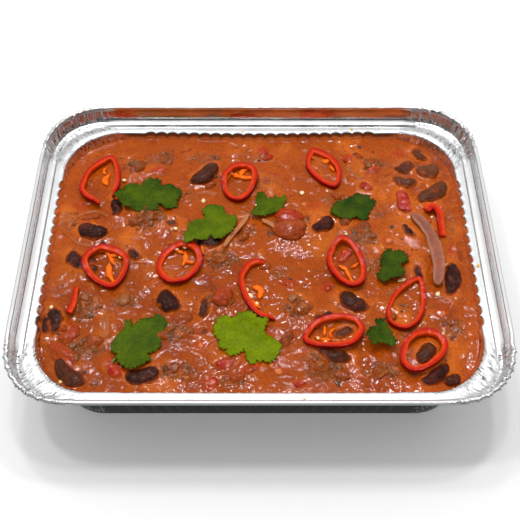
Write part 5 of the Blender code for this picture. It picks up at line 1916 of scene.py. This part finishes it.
# Wet flesh: glossy, fibrous, with a little light coming through
tomato_material = make_tinted_material("tomato flesh", (0.16, 0.12), (1.4, 3, 0.75, 1.25), (0.9, 3, 0.5, 0.6),
                                       (0.12, (0.0015, 0.0004, 0.0002)))


def make_tomato():
    """The wedges of the solid model and the sunk ones, one piece."""
    shapes = [(CHUNKS[name], WEDGE_HALF_HEIGHT) for name in chunk_names]
    shapes += [(sunk_shape(*wedge, 0.06), SUNK_WEDGE_HALF_HEIGHT) for wedge in SUNK_TOMATO]
    lumps = []
    for number, (shape, half_height) in enumerate(shapes):
        places, share, around = tomato_points(shape, 900 + 9 * number, half_height)
        tone = fade(layered_bumps(places[:, 0], places[:, 1], 3, 905 + number, 3), -0.5, 0.8)
        film = film_amount(places, 950 + number, 0.25)
        colour = towards(blend(TOMATO_DEEP, TOMATO_LIGHT, tone), FILM, 0.8 * film)
        lumps.append((places, colour, film, share, around))
    places, faces, colours, _, sheet = join_lumps(lumps)
    piece = make_piece("tomato_wedges", places, faces, tomato_material, "tomato", chunk_names)
    paint(piece, "tint", colours)
    give_sheet(piece, sheet)


make_tomato()

# %% Arcs of onion
# Width and route
ONION_STRIPS = {
    "onion_strip_1": (6.4, ((77.0, 22.6), (81.6, 18.2), (85.2, 11), (87.0, 2), (87.2, -8), (86.2, -15),
                            (85, -20))),
    "onion_strip_2": (2.4, ((-5.4, 24), (-8.2, 18.6), (-13, 10.6), (-17.6, 1.8))),
    "onion_strip_3": (2.4, ((1.2, 19.6), (5, 17), (9.4, 13.4))),
}
ONION_FILMS = (
    (1.6, ((-96, 12), (-95, 19), (-90, 24.5), (-83, 26.5), (-77, 23))),
    (1.4, ((-95, 10), (-90, 5.5), (-82, 3.5))), (3.2, ((-83.5, -25), (-82.5, -31), (-79.5, -37))),
    (2.8, ((-78, -26), (-77.5, -30), (-76.5, -34.5))), (3.2, ((-72.5, -36), (-71.8, -42), (-71, -48))),
    (2.0, ((45, 57), (49, 53), (54, 45))), (1.8, ((40, -41), (47, -40.6), (54.5, -41.6))),
    (2.0, ((60, -24), (66, -22.5), (70, -18))), (1.6, ((-10, 26.5), (-5, 23.5), (0, 21.5))),
    (2.4, ((-33, 38), (-28, 39.5), (-22, 38))),
)
# A ribbon's section: place across, from -1 to 1, and height, from 0 to 1
RIBBON = ((-1.0, 0.2), (-0.94, 0.75), (-0.78, 1.0), (-0.4, 0.86), (0.0, 0.82), (0.4, 0.86), (0.78, 1.0),
          (0.94, 0.75), (1.0, 0.2), (0.8, 0.0), (0.0, 0.0), (-0.8, 0.0))


ONION_HEIGHT = 1.5
ONION_FILM_HEIGHT = 1.1
# Red onion, white onion, and onion under a film of sauce
ONION_TONES = ((0.27, 0.080, 0.046), (0.44, 0.145, 0.046), (0.34, 0.080, 0.013))
ONION_RIMS = ((0.50, 0.230, 0.120), (0.62, 0.260, 0.100), (0.44, 0.130, 0.032))
# Glassy cooked onion, with fine lines on it
onion_material = make_tinted_material("cooked onion", (0.15, 0.22), (2.0, 3, 0.85, 1.15), (1.2, 2, 0.25, 0.5),
                                      (0.25, (0.0015, 0.0007, 0.0004)))


def onion_ribbon(route, low, width, height, seed):
    """An arc of onion with raised rims and tapered ends, and how near the rim its points are."""
    share = np.linspace(-1, 1, len(route))
    taper = np.sqrt(np.clip(1 - np.abs(share) ** 6, 0.04, 1))
    wide = taper * (1 + 0.12 * bumps(route[:, 0], route[:, 1], 5, seed))
    across, up = np.array(RIBBON).T
    sections = [np.column_stack([across * size * width / 2, up * height]) for size in wide]
    rim = np.tile(np.abs(across) ** 3, len(route))
    return sweep(route, left_of(route, False), low, sections, False), rim


def make_onion():
    """Onion arcs: those of the solid model and thin films of onion in the sauce."""
    parts = []
    rims = []
    kinds = []
    for number, (name, (width, places)) in enumerate(ONION_STRIPS.items()):
        route = smooth_route(places, False, 0.7)
        low = solid_level(name, route) - 1.15
        part, rim = onion_ribbon(route, low, width, ONION_HEIGHT, 990 + number)
        parts.append(part)
        rims.append(rim)
        kinds += [min(number, 1)] * len(rim)
    for number, (width, places) in enumerate(ONION_FILMS):
        route = smooth_route(places, False, 0.7)
        low = smoothed(levels_at(route), 2) - 0.75
        part, rim = onion_ribbon(route, low, width, ONION_FILM_HEIGHT, 995 + number)
        parts.append(part)
        rims.append(rim * 0.6)
        kinds += [2] * len(rim)
    points, faces = join_parts(parts)
    piece = make_piece("onion_arcs", points, faces, onion_material, "onion", list(ONION_STRIPS))
    x, y, _ = points.T
    body = np.array(ONION_TONES)[kinds] * (1 + 0.2 * layered_bumps(x, y, 3, 981, 3))[:, None]
    paint(piece, "tint", towards(body, np.array(ONION_RIMS)[kinds], 0.7 * np.concatenate(rims)))


make_onion()

# %% Crumbs of mince
CRUMBS_PER_AREA = 0.16      # crumbs for each square millimetre of a patch at full strength
CLUMPS_PER_AREA = 0.040     # and clumps of crumbs
LOOSE_CRUMBS = 300          # and crumbs scattered everywhere
FINE_CRUMB = 1.1            # crumbs larger than this are made from the finer ball
CRUMB_ROUGH = 0.42          # how far a crumb is pushed out of shape, as a share of its radius
CRUMB_FLAT = 0.62           # its height as a share of its width
CRUMB_DARK = (0.115, 0.032, 0.0055)
CRUMB_PALE = (0.30, 0.095, 0.024)
# Rough minced beef, wet in places
crumb_material = make_tinted_material("mince", (0.12, 0.16), (0.8, 3, 0.70, 1.25), (0.6, 3, 0.5, 0.7))


def crumb_places(random):
    """Places and sizes of the clumps and crumbs: thick in the patches of mince, thin elsewhere."""
    places = []
    for x, y, half_length, half_width, turn, strength in MINCE:
        area = math.pi * half_length * half_width * strength ** 2
        angle = math.radians(turn)
        for per_area, smallest, largest in ((CLUMPS_PER_AREA, 2.6, 4.6), (CRUMBS_PER_AREA, 0.8, 2.2)):
            for _ in range(int(per_area * area)):
                reach = math.sqrt(random.uniform(0, 1))
                bearing = random.uniform(0, 2 * math.pi)
                along = reach * math.cos(bearing) * half_length
                aside = reach * math.sin(bearing) * half_width
                size = random.uniform(smallest, largest) * (1.1 - 0.35 * reach)
                places.append((*turn_plan(x, y, along, aside, angle), size))
    for _ in range(LOOSE_CRUMBS):
        x = random.uniform(-WALL_X - 24, WALL_X + 24)
        y = random.uniform(-WALL_Y - 24, WALL_Y + 24)
        places.append((x, y, random.uniform(0.5, 1.3)))
    return [place for place in places if is_in_stew(place[0], place[1], 2.5)]


def is_in_stew(x, y, margin):
    """Whether a place is on the stew, at least a margin from the foil."""
    distance, _, _ = wall_distance(np.array([x]), np.array([y]))
    return distance[0] > margin


def make_crumbs():
    """Small balls pushed out of shape, half sunk, joined into one piece."""
    random = np.random.default_rng(1207)
    fine_ball = round_ball(3)
    plain_ball = round_ball(2)
    points = []
    faces = []
    colours = []
    used = 0
    for number, (x, y, size) in enumerate(crumb_places(random)):
        base, shape_faces = fine_ball if size > FINE_CRUMB else plain_ball
        stretch = random.uniform(0.75, 1.35, 3) * (1, 1, CRUMB_FLAT)
        grain = 2.4 / math.sqrt(size)
        across = base[:, 0] * 2 + number
        along = base[:, 1] * 2 + base[:, 2] * 1.3
        wobble = layered_bumps(across, along, 1.5 / grain * 2, number, 3)
        lump = base * (1 + CRUMB_ROUGH * wobble)[:, None] * stretch * size * 0.58
        angle = random.uniform(0, math.pi)
        made_x, made_y = turn_plan(x, y, lump[:, 0], lump[:, 1], angle)
        level = stew_level_at(x, y) - size * random.uniform(0.05, 0.30)
        made = np.column_stack([made_x, made_y, level + lump[:, 2]])
        brown = random.uniform(0, 1)
        tone = np.clip(brown ** 1.3 + 0.5 * wobble, 0, 1)
        body = blend(CRUMB_DARK, CRUMB_PALE, tone)
        coat = fade(random.uniform(0.1, 1.4) - lump[:, 2] / (size * 0.36), -0.1, 0.8)
        colours.append(towards(body, np.asarray(SAUCE) * 0.85, 0.85 * coat))
        faces.append(shape_faces + used)
        used += len(base)
        points.append(made)
    faces = np.vstack(faces).tolist()
    piece = make_piece("mince_crumbs", np.vstack(points), faces, crumb_material, "mince")
    paint(piece, "tint", np.vstack(colours))


make_crumbs()

# %% [markdown]
# ## Small things
#
# Specks of pepper and skin, bubbles of oil and a few drops splashed on the foil finish the dish.
# They are tiny, but a dish without them looks too clean. All are balls squashed flat, and one
# helper makes every kind.


# %% Specks, bubbles and drops
def make_dots(name, dots, material, slot, flatness, level_of):
    """Flattened balls: each has a place, a radius and the level it sits at."""
    base, triangles = round_ball(2)
    parts = []
    for number, (x, y, radius) in enumerate(dots):
        wide = 0.8 + 0.4 * ((number * 7) % 5) / 5
        lump = base * (radius, radius * wide, radius * flatness)
        parts.append((lump + (x, y, level_of(x, y)), triangles.tolist()))
    points, faces = join_parts(parts)
    make_piece(name, points, faces, material, slot)


def scattered(count, smallest, largest, seed):
    """Seeded places all over the stew, with a radius for each."""
    random = np.random.default_rng(seed)
    dots = []
    while len(dots) < count:
        x = random.uniform(-100, 100)
        y = random.uniform(-75, 75)
        radius = random.uniform(smallest, largest)
        if is_in_stew(x, y, 1.5):
            dots.append((x, y, radius))
    return dots


def shelf_level(*_):
    """Height at which a drop sits on the shelf of the foil, the same at every place."""
    return SHELF_HEIGHT + 0.1


PEPPER = (
    (-93, -46.5, 0.8), (-79, -65.5, 0.9), (67, 16.5, 1.0), (15, -15.5, 0.8), (-92.5, -59.5, 0.9),
    (-23, 49.8, 1.0), (-78, 6, 0.9), (54, 70.8, 1.0),
)
BUBBLES = ((-74, -71, 2.1), (-71.5, -68.2, 0.9), (-62, 25.5, 0.9), (47.5, -30, 0.8), (64, -8, 0.7))
DROPS = (
    (19.4, -81.2, 0.8), (-9.3, 77.8, 0.7), (49.9, 79.4, 0.8), (-108.3, -56.1, 0.7), (105.5, -10.6, 0.9),
)
# For each kind: its dots, its two tones, then the tones' size, roughness, specular level and glow,
# its slot, how flat it is and where it sits
DOTS = {
    "pepper_specks": (PEPPER + tuple(scattered(60, 0.18, 0.42, 1301)), "pepper",
                      (0.012, 0.006, 0.004), (0.050, 0.018, 0.008), (0.6, 0.35, 0.3, 0.0),
                      "mince", 0.6, stew_level_at),
    "red_flecks": (scattered(170, 0.25, 0.75, 1302), "red flecks",
                   (0.30, 0.014, 0.004), (0.46, 0.045, 0.010), (0.8, 0.3, 0.3, 0.0),
                   "tomato", 0.45, stew_level_at),
    "oil_bubbles": (BUBBLES + tuple(scattered(40, 0.3, 0.7, 1303)), "oil",
                    (0.13, 0.030, 0.003), (0.26, 0.060, 0.005), (1.5, 0.04, 0.4, 0.0),
                    "sauce", 0.5, stew_level_at),
    "oil_drops": (DROPS, "oil drops",
                  (0.62, 0.36, 0.03), (0.78, 0.52, 0.08), (0.8, 0.12, 0.5, 0.1),
                  "seed", 0.35, shelf_level),
}
for name, (dots, finish, dark, light, finish_values, slot, flatness, level_of) in DOTS.items():
    material = make_soft_material(finish, dark, light, *finish_values)
    make_dots(name, dots, material, slot, flatness, level_of)
